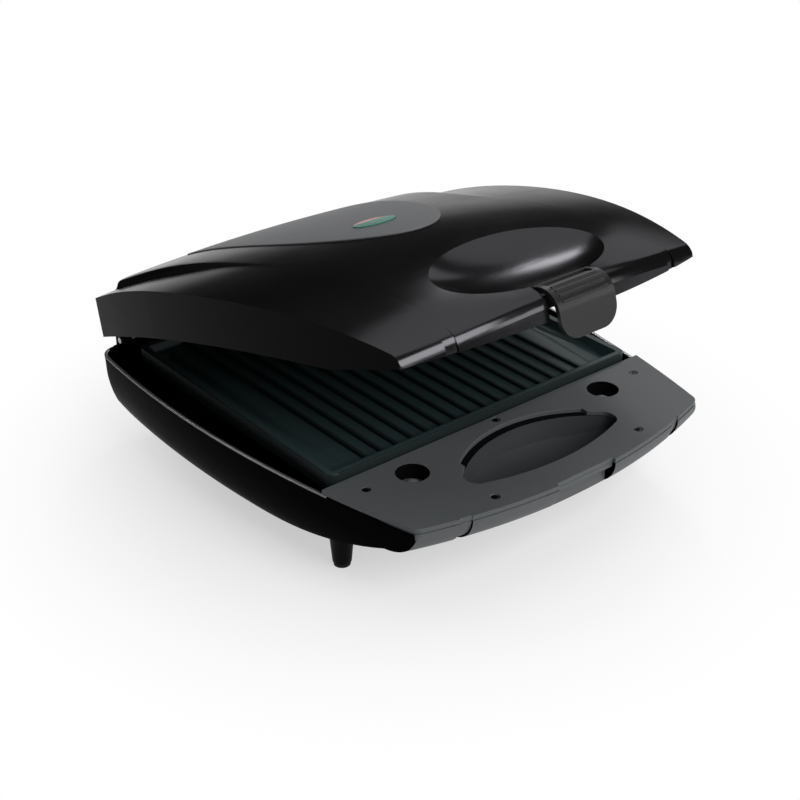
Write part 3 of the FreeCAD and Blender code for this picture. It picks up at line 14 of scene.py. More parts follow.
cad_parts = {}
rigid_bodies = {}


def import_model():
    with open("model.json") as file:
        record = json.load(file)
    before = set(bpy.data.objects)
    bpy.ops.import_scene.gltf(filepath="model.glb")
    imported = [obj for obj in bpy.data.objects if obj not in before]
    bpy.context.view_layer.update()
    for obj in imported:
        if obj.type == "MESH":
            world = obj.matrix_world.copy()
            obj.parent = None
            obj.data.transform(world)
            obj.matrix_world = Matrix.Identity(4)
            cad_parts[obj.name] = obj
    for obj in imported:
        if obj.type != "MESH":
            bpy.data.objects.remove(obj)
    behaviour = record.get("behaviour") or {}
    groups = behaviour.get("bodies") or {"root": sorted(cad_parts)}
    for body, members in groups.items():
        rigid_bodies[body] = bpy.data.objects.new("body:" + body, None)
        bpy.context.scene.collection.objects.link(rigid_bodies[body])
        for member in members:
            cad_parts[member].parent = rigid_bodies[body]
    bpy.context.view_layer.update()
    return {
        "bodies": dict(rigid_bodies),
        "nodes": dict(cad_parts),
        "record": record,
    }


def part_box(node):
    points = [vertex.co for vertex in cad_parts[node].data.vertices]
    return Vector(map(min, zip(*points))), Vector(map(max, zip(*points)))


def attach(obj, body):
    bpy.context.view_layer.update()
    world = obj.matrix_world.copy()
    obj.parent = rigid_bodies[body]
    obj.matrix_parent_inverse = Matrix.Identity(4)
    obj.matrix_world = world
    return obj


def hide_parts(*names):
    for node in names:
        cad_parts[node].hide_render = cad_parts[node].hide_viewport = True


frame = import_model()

log = logging.getLogger("sandwich_maker")

Socket = bpy.types.NodeSocket
Tree = bpy.types.NodeTree
Material = bpy.types.Material
Mesh = bpy.types.Mesh
Face = bpy.types.MeshPolygon
Sheet = bmesh.types.BMesh
MM = 0.001
MERGE_REACH = 0.002 * MM
FLAT_DEGREES = 0.3
EVEN_NORMALS = ("WEIGHTED_NORMAL", {"mode": "FACE_AREA", "weight": 50, "keep_sharp": True})


class Body(Enum):
    """Moving bodies of the part."""

    BASE = "base"
    LID = "lid"
    LATCH = "latch"


def linear(hex_colour: str) -> tuple[float, float, float, float]:
    """Turn an sRGB hex colour to a linear one.

    Args:
        hex_colour: Six hex digits after a hash sign.

    Returns:
        Linear red, green, blue and a full alpha.
    """
    parts = [int(hex_colour[i : i + 2], 16) / 255 for i in (1, 3, 5)]
    low = [c / 12.92 if c <= 0.04045 else ((c + 0.055) / 1.055) ** 2.4 for c in parts]
    return (low[0], low[1], low[2], 1.0)


def per_metre(size_mm: float) -> float:
    """Texture scale whose features are about so many millimetres wide."""
    return 1.0 / (size_mm * MM)


def add(tree: Tree, kind: str, inputs: dict[Any, Any] | None = None, **settings: Any) -> bpy.types.Node:
    """Add a node with its settings and its inputs.

    Args:
        tree: Tree that gets the node.
        kind: Type name of the node.
        inputs: Values by input name or number; a socket is linked, anything else is set.
        **settings: Properties of the node.

    Returns:
        The new node.
    """
    node = tree.nodes.new(kind)
    for name, value in settings.items():
        setattr(node, name, value)
    for key, value in (inputs or {}).items():
        if isinstance(value, Socket):
            tree.links.new(value, node.inputs[key])
        else:
            node.inputs[key].default_value = value
    return node


def product(tree: Tree, first: Socket, second: Any) -> Socket:
    """Multiply a socket by a number or another socket."""
    return add(tree, "ShaderNodeMath", {0: first, 1: second}, operation="MULTIPLY").outputs[0]


def blank_material(name: str) -> tuple[Material, Tree, Socket]:
    """Start a material with nothing in it but object coordinates.

    Args:
        name: Name of the material.

    Returns:
        The material, its tree, and the socket of the object coordinates.
    """
    material = bpy.data.materials.new(name)
    material.use_nodes = True
    tree = material.node_tree
    tree.nodes.clear()
    where = add(tree, "ShaderNodeTexCoord")
    return material, tree, where.outputs["Object"]


def close_material(tree: Tree, shader: Socket) -> None:
    """Link a shader to the material's output."""
    add(tree, "ShaderNodeOutputMaterial", {"Surface": shader})


def noise(tree: Tree, where: Socket, size_mm: float, detail: float, fine: float = 0.5) -> Socket:
    """Add a noise whose features are about so many millimetres wide.

    Args:
        tree: Tree that gets it.
        where: Coordinates to read.
        size_mm: Width of a feature.
        detail: Number of finer layers.
        fine: Strength of the finer layers.

    Returns:
        The noise, about 0 to 1.
    """
    node = add(tree, "ShaderNodeTexNoise",
               {"Vector": where, "Scale": per_metre(size_mm), "Detail": detail, "Roughness": fine})
    return node.outputs["Fac"]


def blend(tree: Tree, share: Socket, first: str, second: str) -> Socket:
    """Mix two sRGB hex colours by a share of 0 to 1."""
    colours = {"Factor": share, 6: linear(first), 7: linear(second)}
    return add(tree, "ShaderNodeMix", colours, data_type="RGBA").outputs[2]


def spread(tree: Tree, share: Socket, middle: float, half: float, low: float = 0.0,
           high: float = 1.0) -> Socket:
    """Spread a share about a middle value.

    Args:
        tree: Tree that gets the node.
        share: Value to spread.
        middle: Middle of the result.
        half: How far the result goes to either side.
        low: Share that gives the least result.
        high: Share that gives the greatest.

    Returns:
        The spread value.
    """
    node = add(tree, "ShaderNodeMapRange",
               {"Value": share, "From Min": low, "From Max": high, "To Min": middle - half,
                "To Max": middle + half})
    return node.outputs["Result"]


def relief(tree: Tree, height: Socket, depth_mm: float, strength: float = 1.0) -> Socket:
    """Turn a height of 0 to 1 to a bumped normal, so many millimetres deep."""
    node = add(tree, "ShaderNodeBump", {"Height": height, "Strength": strength, "Distance": depth_mm * MM})
    return node.outputs["Normal"]


@dataclass(frozen=True)
class Finish:
    """Surface of a piece: a name, and two colours that a texture mixes."""

    name: str
    colour: str
    second: str

    def inputs(self, tree: Tree, where: Socket) -> dict[str, Any]:
        """Make the textures.

        Args:
            tree: Tree that gets them.
            where: Coordinates to read.

        Returns:
            Inputs of the shader by name.
        """
        raise NotImplementedError

    @cache
    def material(self) -> Material:
        """Build the material, once.

        Returns:
            The finished material.
        """
        material, tree, where = blank_material(self.name)
        shader = add(tree, "ShaderNodeBsdfPrincipled", self.inputs(tree, where))
        close_material(tree, shader.outputs["BSDF"])
        return material


@dataclass(frozen=True)
class MouldedPlastic(Finish):
    """Injection-moulded plastic: a clouded colour, and the grain of the mould in gloss and bump."""

    roughness: float
    specular: float
    roughness_spread: float = 0.03
    grain_mm: float = 1.6
    grain_depth_mm: float = 0.003
    ior: float = 1.5
    pigment: float = 0.0
    edge: float = 1.0
    cloud_mm: float = 40.0
    cloud_low: float = 0.3
    cloud_high: float = 0.7

    def inputs(self, tree: Tree, where: Socket) -> dict[str, Any]:
        """Cloud the colour and the gloss, and raise the grain."""
        cloud = noise(tree, where, self.cloud_mm, detail=4.0, fine=0.6)
        grain = noise(tree, where, self.grain_mm, detail=2.0)
        gloss = spread(tree, cloud, self.roughness, self.roughness_spread, self.cloud_low, self.cloud_high)
        return {"Base Color": blend(tree, cloud, self.colour, self.second), "Roughness": gloss,
                "Specular IOR Level": self.specular, "IOR": self.ior, "Metallic": self.pigment,
                "Specular Tint": (self.edge, self.edge, self.edge, 1.0),
                "Normal": relief(tree, grain, self.grain_depth_mm)}


@dataclass(frozen=True)
class CoatedCasting(Finish):
    """Cast aluminium under a sprayed non-stick coat: fine speckle, and a sheen from the blasted metal."""

    roughness: float
    speckle_mm: float = 0.6
    blast_mm: float = 0.5
    blast_depth_mm: float = 0.015
    specular: float = 0.25
    ior: float = 1.4
    roughness_spread: float = 0.08
    speckle_low: float = 0.56
    speckle_high: float = 0.7
    speckle_share: float = 0.8

    def inputs(self, tree: Tree, where: Socket) -> dict[str, Any]:
        """Strew the specks, and let the blasted metal show in gloss and bump."""
        dots = noise(tree, where, self.speckle_mm, detail=3.0, fine=0.7)
        half = self.speckle_share / 2
        sparse = spread(tree, dots, half, half, self.speckle_low, self.speckle_high)
        blast = noise(tree, where, self.blast_mm, detail=3.0, fine=0.6)
        return {"Base Color": blend(tree, sparse, self.colour, self.second),
                "Roughness": spread(tree, blast, self.roughness, self.roughness_spread),
                "Specular IOR Level": self.specular, "IOR": self.ior,
                "Normal": relief(tree, blast, self.blast_depth_mm)}


@dataclass(frozen=True)
class WorkedMetal(Finish):
    """Rolled or plated metal: fine lines along one direction that stretch the highlights."""

    roughness: float
    line_mm: float = 0.5
    line_stretch: tuple[float, float, float] = (1.0, 1.0, 1.0)
    line_depth_mm: float = 0.01
    metallic: float = 1.0
    specular: float = 0.5
    stain_mm: float = 14.0
    roughness_spread: float = 0.1

    def inputs(self, tree: Tree, where: Socket) -> dict[str, Any]:
        """Stain the colour, and draw the lines in gloss and bump."""
        turned = add(tree, "ShaderNodeMapping", {"Vector": where, "Scale": self.line_stretch})
        lines = noise(tree, turned.outputs["Vector"], self.line_mm, detail=4.0)
        stain = noise(tree, where, self.stain_mm, detail=5.0)
        return {"Base Color": blend(tree, stain, self.colour, self.second),
                "Roughness": spread(tree, lines, self.roughness, self.roughness_spread),
                "Metallic": self.metallic, "Specular IOR Level": self.specular,
                "Normal": relief(tree, lines, self.line_depth_mm)}


@dataclass(frozen=True)
class TintedClear(Finish):
    """Clear plastic or glass with a tint: light goes in, and a smooth skin mirrors the lamps."""

    transmission: float = 0.1
    roughness: float = 0.15
    ior: float = 1.58
    facet_mm: float = 2.2
    specular: float = 0.5
    facet_depth_mm: float = 0.1
    facet_strength: float = 0.3

    def inputs(self, tree: Tree, where: Socket) -> dict[str, Any]:
        """Lay facets in the colour and the bump."""
        cells = add(tree, "ShaderNodeTexVoronoi", {"Vector": where, "Scale": per_metre(self.facet_mm)})
        facets = cells.outputs["Distance"]
        return {"Base Color": blend(tree, facets, self.colour, self.second), "Roughness": self.roughness,
                "IOR": self.ior, "Specular IOR Level": self.specular,
                "Transmission Weight": self.transmission,
                "Normal": relief(tree, facets, self.facet_depth_mm, self.facet_strength)}


# Black ABS with a fine metallic pigment: soft highlights over a deep black, and dark at a grazing look.
LID_ABS = MouldedPlastic("pigmented_black_abs", "#3a3a3c", "#3e3e40", roughness=0.18, specular=0.3,
                         pigment=0.92, edge=0.42)
# Black ABS of the tub with its reflection nearly taken out, painted shade on the sides that the lamps leave
# dark.
SHADED_TUB_ABS = MouldedPlastic("shaded_black_abs_tub", "#030303", "#050505", roughness=0.3, specular=0.004)
# The tub's rim: a light grey with a metallic pigment along its rounded edge, a painted highlight.
RIM_HIGHLIGHT_ABS = MouldedPlastic("painted_highlight_rim_abs", "#8c8c8e", "#949496", roughness=0.3, specular=0.5,
                         pigment=0.8)
# The lid's side walls, the well's ledge and the socket walls: black with almost no reflection and a fine
# grain, painted shade.
SHADE_BLACK_ABS = MouldedPlastic("painted_shade_black_abs", "#0a0a0a", "#0d0d0d", roughness=0.34, specular=0.03,
                          grain_mm=1.2, grain_depth_mm=0.004)
# Spark-textured dark grey ABS: a fine even grain that spreads the light to a satin grey.
DECK_ABS = MouldedPlastic("spark_textured_grey_abs", "#525557", "#575a5c", roughness=0.5,
                          roughness_spread=0.04, specular=0.2, grain_mm=0.7, grain_depth_mm=0.02)
# The well's own moulding: darker than the deck, as painted shade in the recess, and smoother.
SHADED_WELL_ABS = MouldedPlastic("shaded_fine_grained_grey_abs", "#3a3c3e", "#3f4143", roughness=0.46,
                          roughness_spread=0.04, specular=0.4, grain_mm=0.7, grain_depth_mm=0.015)
# Nylon of the latch: satin, and much darker than the deck.
LATCH_NYLON = MouldedPlastic("satin_nylon", "#161617", "#1b1b1c", roughness=0.42, roughness_spread=0.04,
                             specular=0.3, grain_mm=0.8, grain_depth_mm=0.015)
# Black polypropylene of the feet, the gland and the panel under the lid's front.
FOOT_PP = MouldedPlastic("black_polypropylene", "#050505", "#090909", roughness=0.5, roughness_spread=0.05,
                         specular=0.06, grain_mm=0.8, grain_depth_mm=0.02)
# Black nitrile rubber: dull and slightly dusty.
PAD_RUBBER = MouldedPlastic("nitrile_rubber", "#141414", "#1c1c1b", roughness=0.75, roughness_spread=0.08,
                            specular=0.3, grain_mm=0.5, grain_depth_mm=0.03)
# Grey rubber of the domed buffers in the sockets.
BUFFER_RUBBER = MouldedPlastic("grey_rubber", "#6a6c6e", "#737577", roughness=0.5, roughness_spread=0.06,
                               specular=0.4, grain_mm=0.5, grain_depth_mm=0.03)
# Pale phenolic moulding of the electrical parts.
PHENOLIC = MouldedPlastic("pale_phenolic", "#cfc6ae", "#bfb59c", roughness=0.55, roughness_spread=0.06,
                          specular=0.4, grain_mm=0.8, grain_depth_mm=0.02)
# Non-stick coat over a blasted casting: greenish black with fine lighter specks.
NON_STICK = CoatedCasting("non_stick_on_cast_aluminium", "#2f3d3e", "#394748", roughness=0.45)
# The plates' outer walls: the coat painted darker, as painted shade.
SHADED_STICK = CoatedCasting("painted_shade_non_stick", "#182021", "#202829", roughness=0.55)
# Zinc-plated steel of the hidden screws: cool grey with a fine turned grain.
ZINC_STEEL = WorkedMetal("zinc_plated_steel", "#8d8f92", "#7a7a78", roughness=0.38,
                         line_stretch=(1.0, 1.0, 4.0))
# Blackened steel of the screws that show and of the latch pin: dark with a soft turned sheen.
BLACK_STEEL = WorkedMetal("black_oxide_steel", "#4a4a4c", "#3c3c3d", roughness=0.36,
                          line_stretch=(1.0, 1.0, 4.0))
# Rolled sheet steel of pans and clamps: long fine rolling lines.
SHEET_STEEL = WorkedMetal("rolled_sheet_steel", "#b9babb", "#a7a6a3", roughness=0.33, line_mm=0.7,
                          line_stretch=(0.08, 1.0, 1.0))
# Oxidised steel sheath of the heating tube: brown-grey and dull.
SHEATH_STEEL = WorkedMetal("oxidised_sheath_steel", "#8a8078", "#6f6258", roughness=0.48, line_mm=0.8,
                           line_depth_mm=0.015)
# Drawn steel of the hinge pins.
PIN_STEEL = WorkedMetal("drawn_pin_steel", "#9a9b9d", "#8b8b8b", roughness=0.28, line_mm=0.4,
                        line_stretch=(0.1, 1.0, 1.0), line_depth_mm=0.008)
# Tinned can of the thermal fuse.
TINNED = WorkedMetal("tinned_copper", "#c9c4b4", "#b5aa92", roughness=0.35,
                     line_stretch=(1.0, 0.1, 1.0), line_depth_mm=0.008)
# Silver-grey metallic paint of the indicator panel: dark grey base with fine flake.
FLAKE_PAINT = WorkedMetal("silver_grey_flake_paint", "#68696b", "#707173", roughness=0.42, line_mm=0.35,
                          line_depth_mm=0.004, metallic=0.1, specular=0.06)
# Tinted clear polycarbonate lenses with a moulded facet pattern behind them, and the lamps' glass.
GREEN_LENS = TintedClear("green_polycarbonate", "#0c7f69", "#086552", specular=0.02)
RED_LENS = TintedClear("red_polycarbonate", "#e0584c", "#c2443a", specular=0.2)
LAMP_GLASS = TintedClear("lamp_glass", "#e8e4d8", "#d8d2c0", transmission=0.8, roughness=0.05,
                         ior=1.5, facet_mm=3.0)


def rest_turn() -> Matrix:
    """Turn of the lid from closed to its rest position, about the hinge."""
    hinge = next(j for j in frame["record"]["behaviour"]["joints"] if j["child"] == Body.LID.value)
    place = Matrix.Translation(Vector(hinge["pos_m"]))
    opening = Matrix.Rotation(math.radians(-hinge["range_deg"][0]), 4, Vector(hinge["axis"]))
    return place @ opening @ place.inverted()


def placed(name: str, data: bpy.types.ID) -> bpy.types.Object:
    """Put a new object with its data into the scene."""
    obj = bpy.data.objects.new(name, data)
    bpy.context.scene.collection.objects.link(obj)
    return obj


def direction(azimuth: float, elevation: float) -> Vector:
    """Unit vector so many degrees from the rear towards the right, and above the table."""
    turn = math.radians(azimuth)
    tilt = math.radians(elevation)
    return Vector((math.sin(turn) * math.cos(tilt), math.cos(turn) * math.cos(tilt), math.sin(tilt)))


def settle(mesh: Mesh, name: str, body: Body, node: str) -> None:
    """Put a finished mesh into the scene in place of a CAD node.

    Args:
        mesh: The piece's mesh, in the part's frame.
        name: Name of the piece.
        body: Body that it rides on.
        node: CAD node that it stands for.
    """
    mesh.name = name
    piece = placed(name, mesh)
    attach(piece, body.value)
    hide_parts(node)
    log.info("%s stands for %s, %d faces", name, node, len(mesh.polygons))


def baked(mesh: Mesh, modifiers: list[tuple[str, dict[str, Any]]]) -> Mesh:
    """Run modifiers over a mesh and give the plain result.

    Args:
        mesh: Mesh to start from.
        modifiers: Types of modifier with their settings, in order.

    Returns:
        A new mesh without modifiers.
    """
    carrier = placed("carrier", mesh)
    for kind, settings in modifiers:
        modifier = carrier.modifiers.new(kind.lower(), kind)
        for key, value in settings.items():
            if key.startswith("Socket"):
                modifier[key] = value
            else:
                setattr(modifier, key, value)
    ready = carrier.evaluated_get(bpy.context.evaluated_depsgraph_get())
    result = bpy.data.meshes.new_from_object(ready)
    carrier.modifiers.clear()
    bpy.data.objects.remove(carrier)
    return result


def shade(mesh: Mesh, crease_degrees: float) -> None:
    """Smooth the faces and keep edges sharper than an angle."""
    mesh.shade_smooth()
    mesh.set_sharp_from_angle(angle=math.radians(crease_degrees))


def merged_copy(node: str) -> Mesh:
    """Copy a CAD node's triangles into one joined mesh with whole flat faces.

    Args:
        node: Name of the CAD node.

    Returns:
        The joined mesh.
    """
    sheet = bmesh.new()
    sheet.from_mesh(frame["nodes"][node].data)
    bmesh.ops.remove_doubles(sheet, verts=sheet.verts, dist=MERGE_REACH)
    flat = math.radians(FLAT_DEGREES)
    bmesh.ops.dissolve_limit(sheet, angle_limit=flat, verts=sheet.verts, edges=sheet.edges)
    mesh = bpy.data.meshes.new(node)
    sheet.to_mesh(mesh)
    sheet.free()
    if "custom_normal" in mesh.attributes:
        mesh.attributes.remove(mesh.attributes["custom_normal"])
    mesh.materials.clear()
    return mesh


def paint(mesh: Mesh, finish: Finish, chosen: Callable[[Face], bool]) -> None:
    """Give some faces one more finish.

    Args:
        mesh: Mesh that has its first finish already.
        finish: The further finish.
        chosen: Tells whether a face gets it.
    """
    mesh.materials.append(finish.material())
    index = len(mesh.materials) - 1
    for face in mesh.polygons:
        if chosen(face):
            face.material_index = index


@dataclass
class RoundedMoulding:
    """Housing piece whose sharp edges get the small radius that a mould gives."""

    node: str
    body: Body
    finish: Finish
    edge_mm: float
    sharp_degrees: float = 38.0
    crease_degrees: float = 50.0
    steps: int = 2

    def mesh(self) -> Mesh:
        """Round the edges of the CAD shape.

        Returns:
            The rounded mesh.
        """
        mesh = merged_copy(self.node)
        mesh.shade_smooth()
        rounding = {"width": self.edge_mm * MM, "segments": self.steps, "limit_method": "ANGLE",
                    "angle_limit": math.radians(self.sharp_degrees), "use_clamp_overlap": False,
                    "miter_outer": "MITER_ARC", "harden_normals": False}
        mesh = baked(mesh, [("BEVEL", rounding)])
        shade(mesh, self.crease_degrees)
        return baked(mesh, [EVEN_NORMALS])

    def dress(self, mesh: Mesh) -> None:
        """Give the mesh its finish."""
        mesh.materials.append(self.finish.material())

    def build(self) -> None:
        """Make the piece and put it in place."""
        mesh = self.mesh()
        self.dress(mesh)
        settle(mesh, self.node + "_moulding", self.body, self.node)


@dataclass
class TubShell(RoundedMoulding):
    """Base tub: rounded rim with a painted highlight, black sides with painted shade, and a nose below the
    deck painted satin grey as painted light.
    """

    # The nose gets the deck's satin grey: painted light on the tub's front, which is the same black moulding
    # as the sides.
    nose_finish: Finish = DECK_ABS
    # The rim's light grey finish is a painted highlight along its rounded edge.
    rim_finish: Finish = RIM_HIGHLIGHT_ABS
    nose_facing: float = 0.6
    rim_top: float = 58.0 * MM
    rim_start: float = -125.0 * MM
    rim_steps: int = 3
    level_slack: float = 0.02 * MM

    def on_rim(self, edge: bmesh.types.BMEdge) -> bool:
        """Tell whether an edge runs along the rim behind the deck's corners."""
        level = all(abs(vert.co.z - self.rim_top) < self.level_slack for vert in edge.verts)
        behind = all(vert.co.y > self.rim_start for vert in edge.verts)
        return level and behind and edge.calc_face_angle(0.0) > math.radians(self.sharp_degrees)

    def mesh(self) -> Mesh:
        """Round the rim of the CAD shape.

        Returns:
            The rounded mesh.
        """
        mesh = merged_copy(self.node)
        sheet = bmesh.new()
        sheet.from_mesh(mesh)
        rim = [edge for edge in sheet.edges if self.on_rim(edge)]
        bmesh.ops.bevel(sheet, geom=rim, offset=self.edge_mm * MM, segments=self.rim_steps, profile=0.5,
                        affect="EDGES", clamp_overlap=False)
        sheet.to_mesh(mesh)
        sheet.free()
        shade(mesh, self.sharp_degrees)
        return baked(mesh, [EVEN_NORMALS])

    def dress(self, mesh: Mesh) -> None:
        """Give the sides their painted shade, the nose its painted light and the rim its painted highlight.
        """
        super().dress(mesh)
        deck_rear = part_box("front_deck")[1][1]
        reach = self.edge_mm * MM

        def on_top(face: Face) -> bool:
            """Tell whether a face that is not on the nose lies along the rim behind the deck."""
            behind = face.material_index == 0 and face.center.y > deck_rear
            return behind and abs(face.center.z - self.rim_top) < reach

        # Forward-facing faces of the nose get the deck's grey as painted light.
        paint(mesh, self.nose_finish, lambda face: face.normal.y < -self.nose_facing and face.center.y < 0)
        # The faces along the rim behind the deck get the painted highlight.
        paint(mesh, self.rim_finish, on_top)


@dataclass
class SocketDeck(RoundedMoulding):
    """The deck, with the walls of its two round sockets painted dark as painted shade."""

    # Finish of the socket walls: painted shade.
    wall_finish: Finish = SHADE_BLACK_ABS
    socket_reach: float = 1.8
    wall_facing: float = 0.5

    def dress(self, mesh: Mesh) -> None:
        """Give the top its finish and the socket walls their painted shade."""
        super().dress(mesh)
        low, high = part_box("socket_buffers")
        radius = (high[1] - low[1]) / 2
        socket_x = high[0] - radius
        socket_y = (low[1] + high[1]) / 2

        def in_socket(face: Face) -> bool:
            """Tell whether a face belongs to a socket's wall."""
            away = math.hypot(abs(face.center.x) - socket_x, face.center.y - socket_y)
            return away < self.socket_reach * radius and abs(face.normal.z) < self.wall_facing

        paint(mesh, self.wall_finish, in_socket)


def geometry_tree(name: str, sizes: dict[str, float | int]) -> tuple[Tree, Any, dict[str, Any]]:
    """Start a Geometry Nodes tree with a geometry and named sizes as inputs.

    Args:
        name: Name of the tree.
        sizes: Values by input name.

    Returns:
        The tree, its input sockets by name, and the values by socket identifier.
    """
    tree = bpy.data.node_groups.new(name, "GeometryNodeTree")
    face = tree.interface
    face.new_socket("Geometry", in_out="INPUT", socket_type="NodeSocketGeometry")
    face.new_socket("Geometry", in_out="OUTPUT", socket_type="NodeSocketGeometry")
    values: dict[str, Any] = {}
    for label, value in sizes.items():
        kind = "NodeSocketInt" if isinstance(value, int) else "NodeSocketFloat"
        values[face.new_socket(label, in_out="INPUT", socket_type=kind).identifier] = value
    return tree, tree.nodes.new("NodeGroupInput").outputs, values


def close_tree(tree: Tree, instances: Socket, material: Material) -> None:
    """End a tree in real geometry with its material.

    Args:
        tree: The tree.
        instances: Socket of what was placed.
        material: Material of the result.
    """
    real = add(tree, "GeometryNodeRealizeInstances", {"Geometry": instances})
    dressed = add(tree, "GeometryNodeSetMaterial", {"Geometry": real.outputs[0], "Material": material})
    add(tree, "NodeGroupOutput", {"Geometry": dressed.outputs[0]})


def vector(tree: Tree, **parts: Socket) -> Socket:
    """Join sockets to a vector, with zero for the parts that are not given."""
    return add(tree, "ShaderNodeCombineXYZ", parts).outputs[0]


def raised(tree: Tree, piece: Socket, height: Socket, scale: Any = (1.0, 1.0, 1.0)) -> Socket:
    """Scale a piece and lift it along Z."""
    moves = {"Geometry": piece, "Translation": vector(tree, Z=height), "Scale": scale}
    return add(tree, "GeometryNodeTransform", moves).outputs[0]


@dataclass
class ScrewSet:
    """Domed cross-recess screws in place of a CAD node's plain ones."""

    node: str
    body: Body
    finish: Finish
    head_radius: float = 2.5 * MM
    head_height: float = 1.5 * MM
    head_rim: float = 0.8 * MM
    core_radius: float = 1.15 * MM
    thread_pitch: float = 1.0 * MM
    slot_width: float = 0.75 * MM
    slot_reach: float = 2.9 * MM
    slot_depth: float = 0.9 * MM
    thread_share: float = 0.3
    head_share: float = 0.9
    end_band: float = 0.2 * MM
    head_sides: int = 28
    core_sides: int = 16
    thread_sides: int = 3
    crease_degrees: float = 35.0

    def seats(self) -> tuple[list[Vector], float, bool]:
        """Find the heads' seats in the closed position.

        Returns:
            The seats, the shank's length, and whether the heads face up.
        """
        back = rest_turn().inverted() if self.body is Body.LID else Matrix.Identity(4)
        sheet = bmesh.new()
        sheet.from_mesh(frame["nodes"][self.node].data)
        bmesh.ops.remove_doubles(sheet, verts=sheet.verts, dist=MERGE_REACH)
        todo = set(sheet.verts)
        seats = []
        while todo:
            island = {todo.pop()}
            edge_of_island = list(island)
            while edge_of_island:
                vert = edge_of_island.pop()
                for edge in vert.link_edges:
                    other = edge.other_vert(vert)
                    if other in todo:
                        todo.discard(other)
                        island.add(other)
                        edge_of_island.append(other)
            points = [back @ vert.co for vert in island]
            xs, ys, zs = zip(*points)
            low, high = min(zs), max(zs)
            middle = Vector(((min(xs) + max(xs)) / 2, (min(ys) + max(ys)) / 2, 0.0))
            reach_high = max((p.xy - middle.xy).length for p in points if p.z > high - self.end_band)
            up = reach_high > self.head_share * self.head_radius
            middle.z = high - self.head_height if up else low + self.head_height
            seats.append(middle)
            length = high - low - self.head_height
        sheet.free()
        return seats, length, up

    def tree(self, length: float, up: bool) -> tuple[Tree, dict[str, Any]]:
        """Build the tree that sets a screw on every seat.

        Args:
            length: Length of the shank.
            up: Whether the heads face up.

        Returns:
            The tree and its values by socket identifier.
        """
        tree, size, values = geometry_tree("screws", {
            "Head Radius": self.head_radius, "Dome Height": self.head_height - self.head_rim,
            "Head Rim": self.head_rim, "Core Radius": self.core_radius, "Shank Length": length,
            "Thread Turns": length / self.thread_pitch, "Thread Size": self.thread_share * self.thread_pitch,
            "Slot Width": self.slot_width, "Slot Reach": self.slot_reach, "Slot Depth": 2 * self.slot_depth,
            "Flip": 0.0 if up else math.pi})
        half_rim = product(tree, size["Head Rim"], 0.5)
        rim = add(tree, "GeometryNodeMeshCylinder",
                  {"Vertices": self.head_sides, "Radius": size["Head Radius"], "Depth": size["Head Rim"]})
        rim = raised(tree, rim.outputs["Mesh"], half_rim)
        ball = add(tree, "GeometryNodeMeshUVSphere",
                   {"Segments": self.head_sides, "Rings": self.head_sides // 2, "Radius": 1.0})
        ball_size = vector(tree, X=size["Head Radius"], Y=size["Head Radius"], Z=size["Dome Height"])
        ball = raised(tree, ball.outputs["Mesh"], size["Head Rim"], ball_size)
        head_top = add(tree, "ShaderNodeMath", {0: size["Head Rim"], 1: size["Dome Height"]})
        slots = []
        for along, across in (("Slot Reach", "Slot Width"), ("Slot Width", "Slot Reach")):
            extent = vector(tree, X=size[along], Y=size[across], Z=size["Slot Depth"])
            bar = add(tree, "GeometryNodeMeshCube", {"Size": extent})
            slots.append(raised(tree, bar.outputs["Mesh"], head_top.outputs[0]))
        head = add(tree, "GeometryNodeMeshBoolean", operation="UNION", solver="EXACT")
        for part in (rim, ball):
            tree.links.new(part, head.inputs["Mesh"])
        cut = add(tree, "GeometryNodeMeshBoolean",
                  {"Mesh 1": head.outputs["Mesh"], "Self Intersection": True},
                  operation="DIFFERENCE", solver="EXACT")
        for part in slots:
            tree.links.new(part, cut.inputs["Mesh 2"])
        down = product(tree, size["Shank Length"], -1.0)
        half_down = product(tree, down, 0.5)
        core = add(tree, "GeometryNodeMeshCylinder",
                   {"Vertices": self.core_sides, "Radius": size["Core Radius"],
                    "Depth": size["Shank Length"]})
        core = raised(tree, core.outputs["Mesh"], half_down)
        helix = add(tree, "GeometryNodeCurveSpiral",
                    {"Resolution": self.core_sides, "Rotations": size["Thread Turns"],
                     "Start Radius": size["Core Radius"], "End Radius": size["Core Radius"],
                     "Height": size["Shank Length"]})
        ridge = add(tree, "GeometryNodeCurvePrimitiveCircle",
                    {"Resolution": self.thread_sides, "Radius": size["Thread Size"]})
        thread = add(tree, "GeometryNodeCurveToMesh",
                     {"Curve": helix.outputs[0], "Profile Curve": ridge.outputs["Curve"], "Fill Caps": True})
        thread = raised(tree, thread.outputs[0], down)
        whole = add(tree, "GeometryNodeJoinGeometry")
        for part in (cut.outputs["Mesh"], core, thread):
            tree.links.new(part, whole.inputs["Geometry"])
        turn = add(tree, "FunctionNodeEulerToRotation", {"Euler": vector(tree, X=size["Flip"])})
        screws = add(tree, "GeometryNodeInstanceOnPoints",
                     {"Points": size["Geometry"], "Instance": whole.outputs[0], "Rotation": turn.outputs[0]})
        close_tree(tree, screws.outputs[0], self.finish.material())
        return tree, values

    def build(self) -> None:
        """Make the screws and put them in place."""
        seats, length, up = self.seats()
        points = bpy.data.meshes.new(self.node)
        points.from_pydata(seats, [], [])
        tree, values = self.tree(length, up)
        mesh = baked(points, [("NODES", {"node_group": tree} | values)])
        if self.body is Body.LID:
            mesh.transform(rest_turn())
        shade(mesh, self.crease_degrees)
        settle(mesh, self.node + "_domed", self.body, self.node)


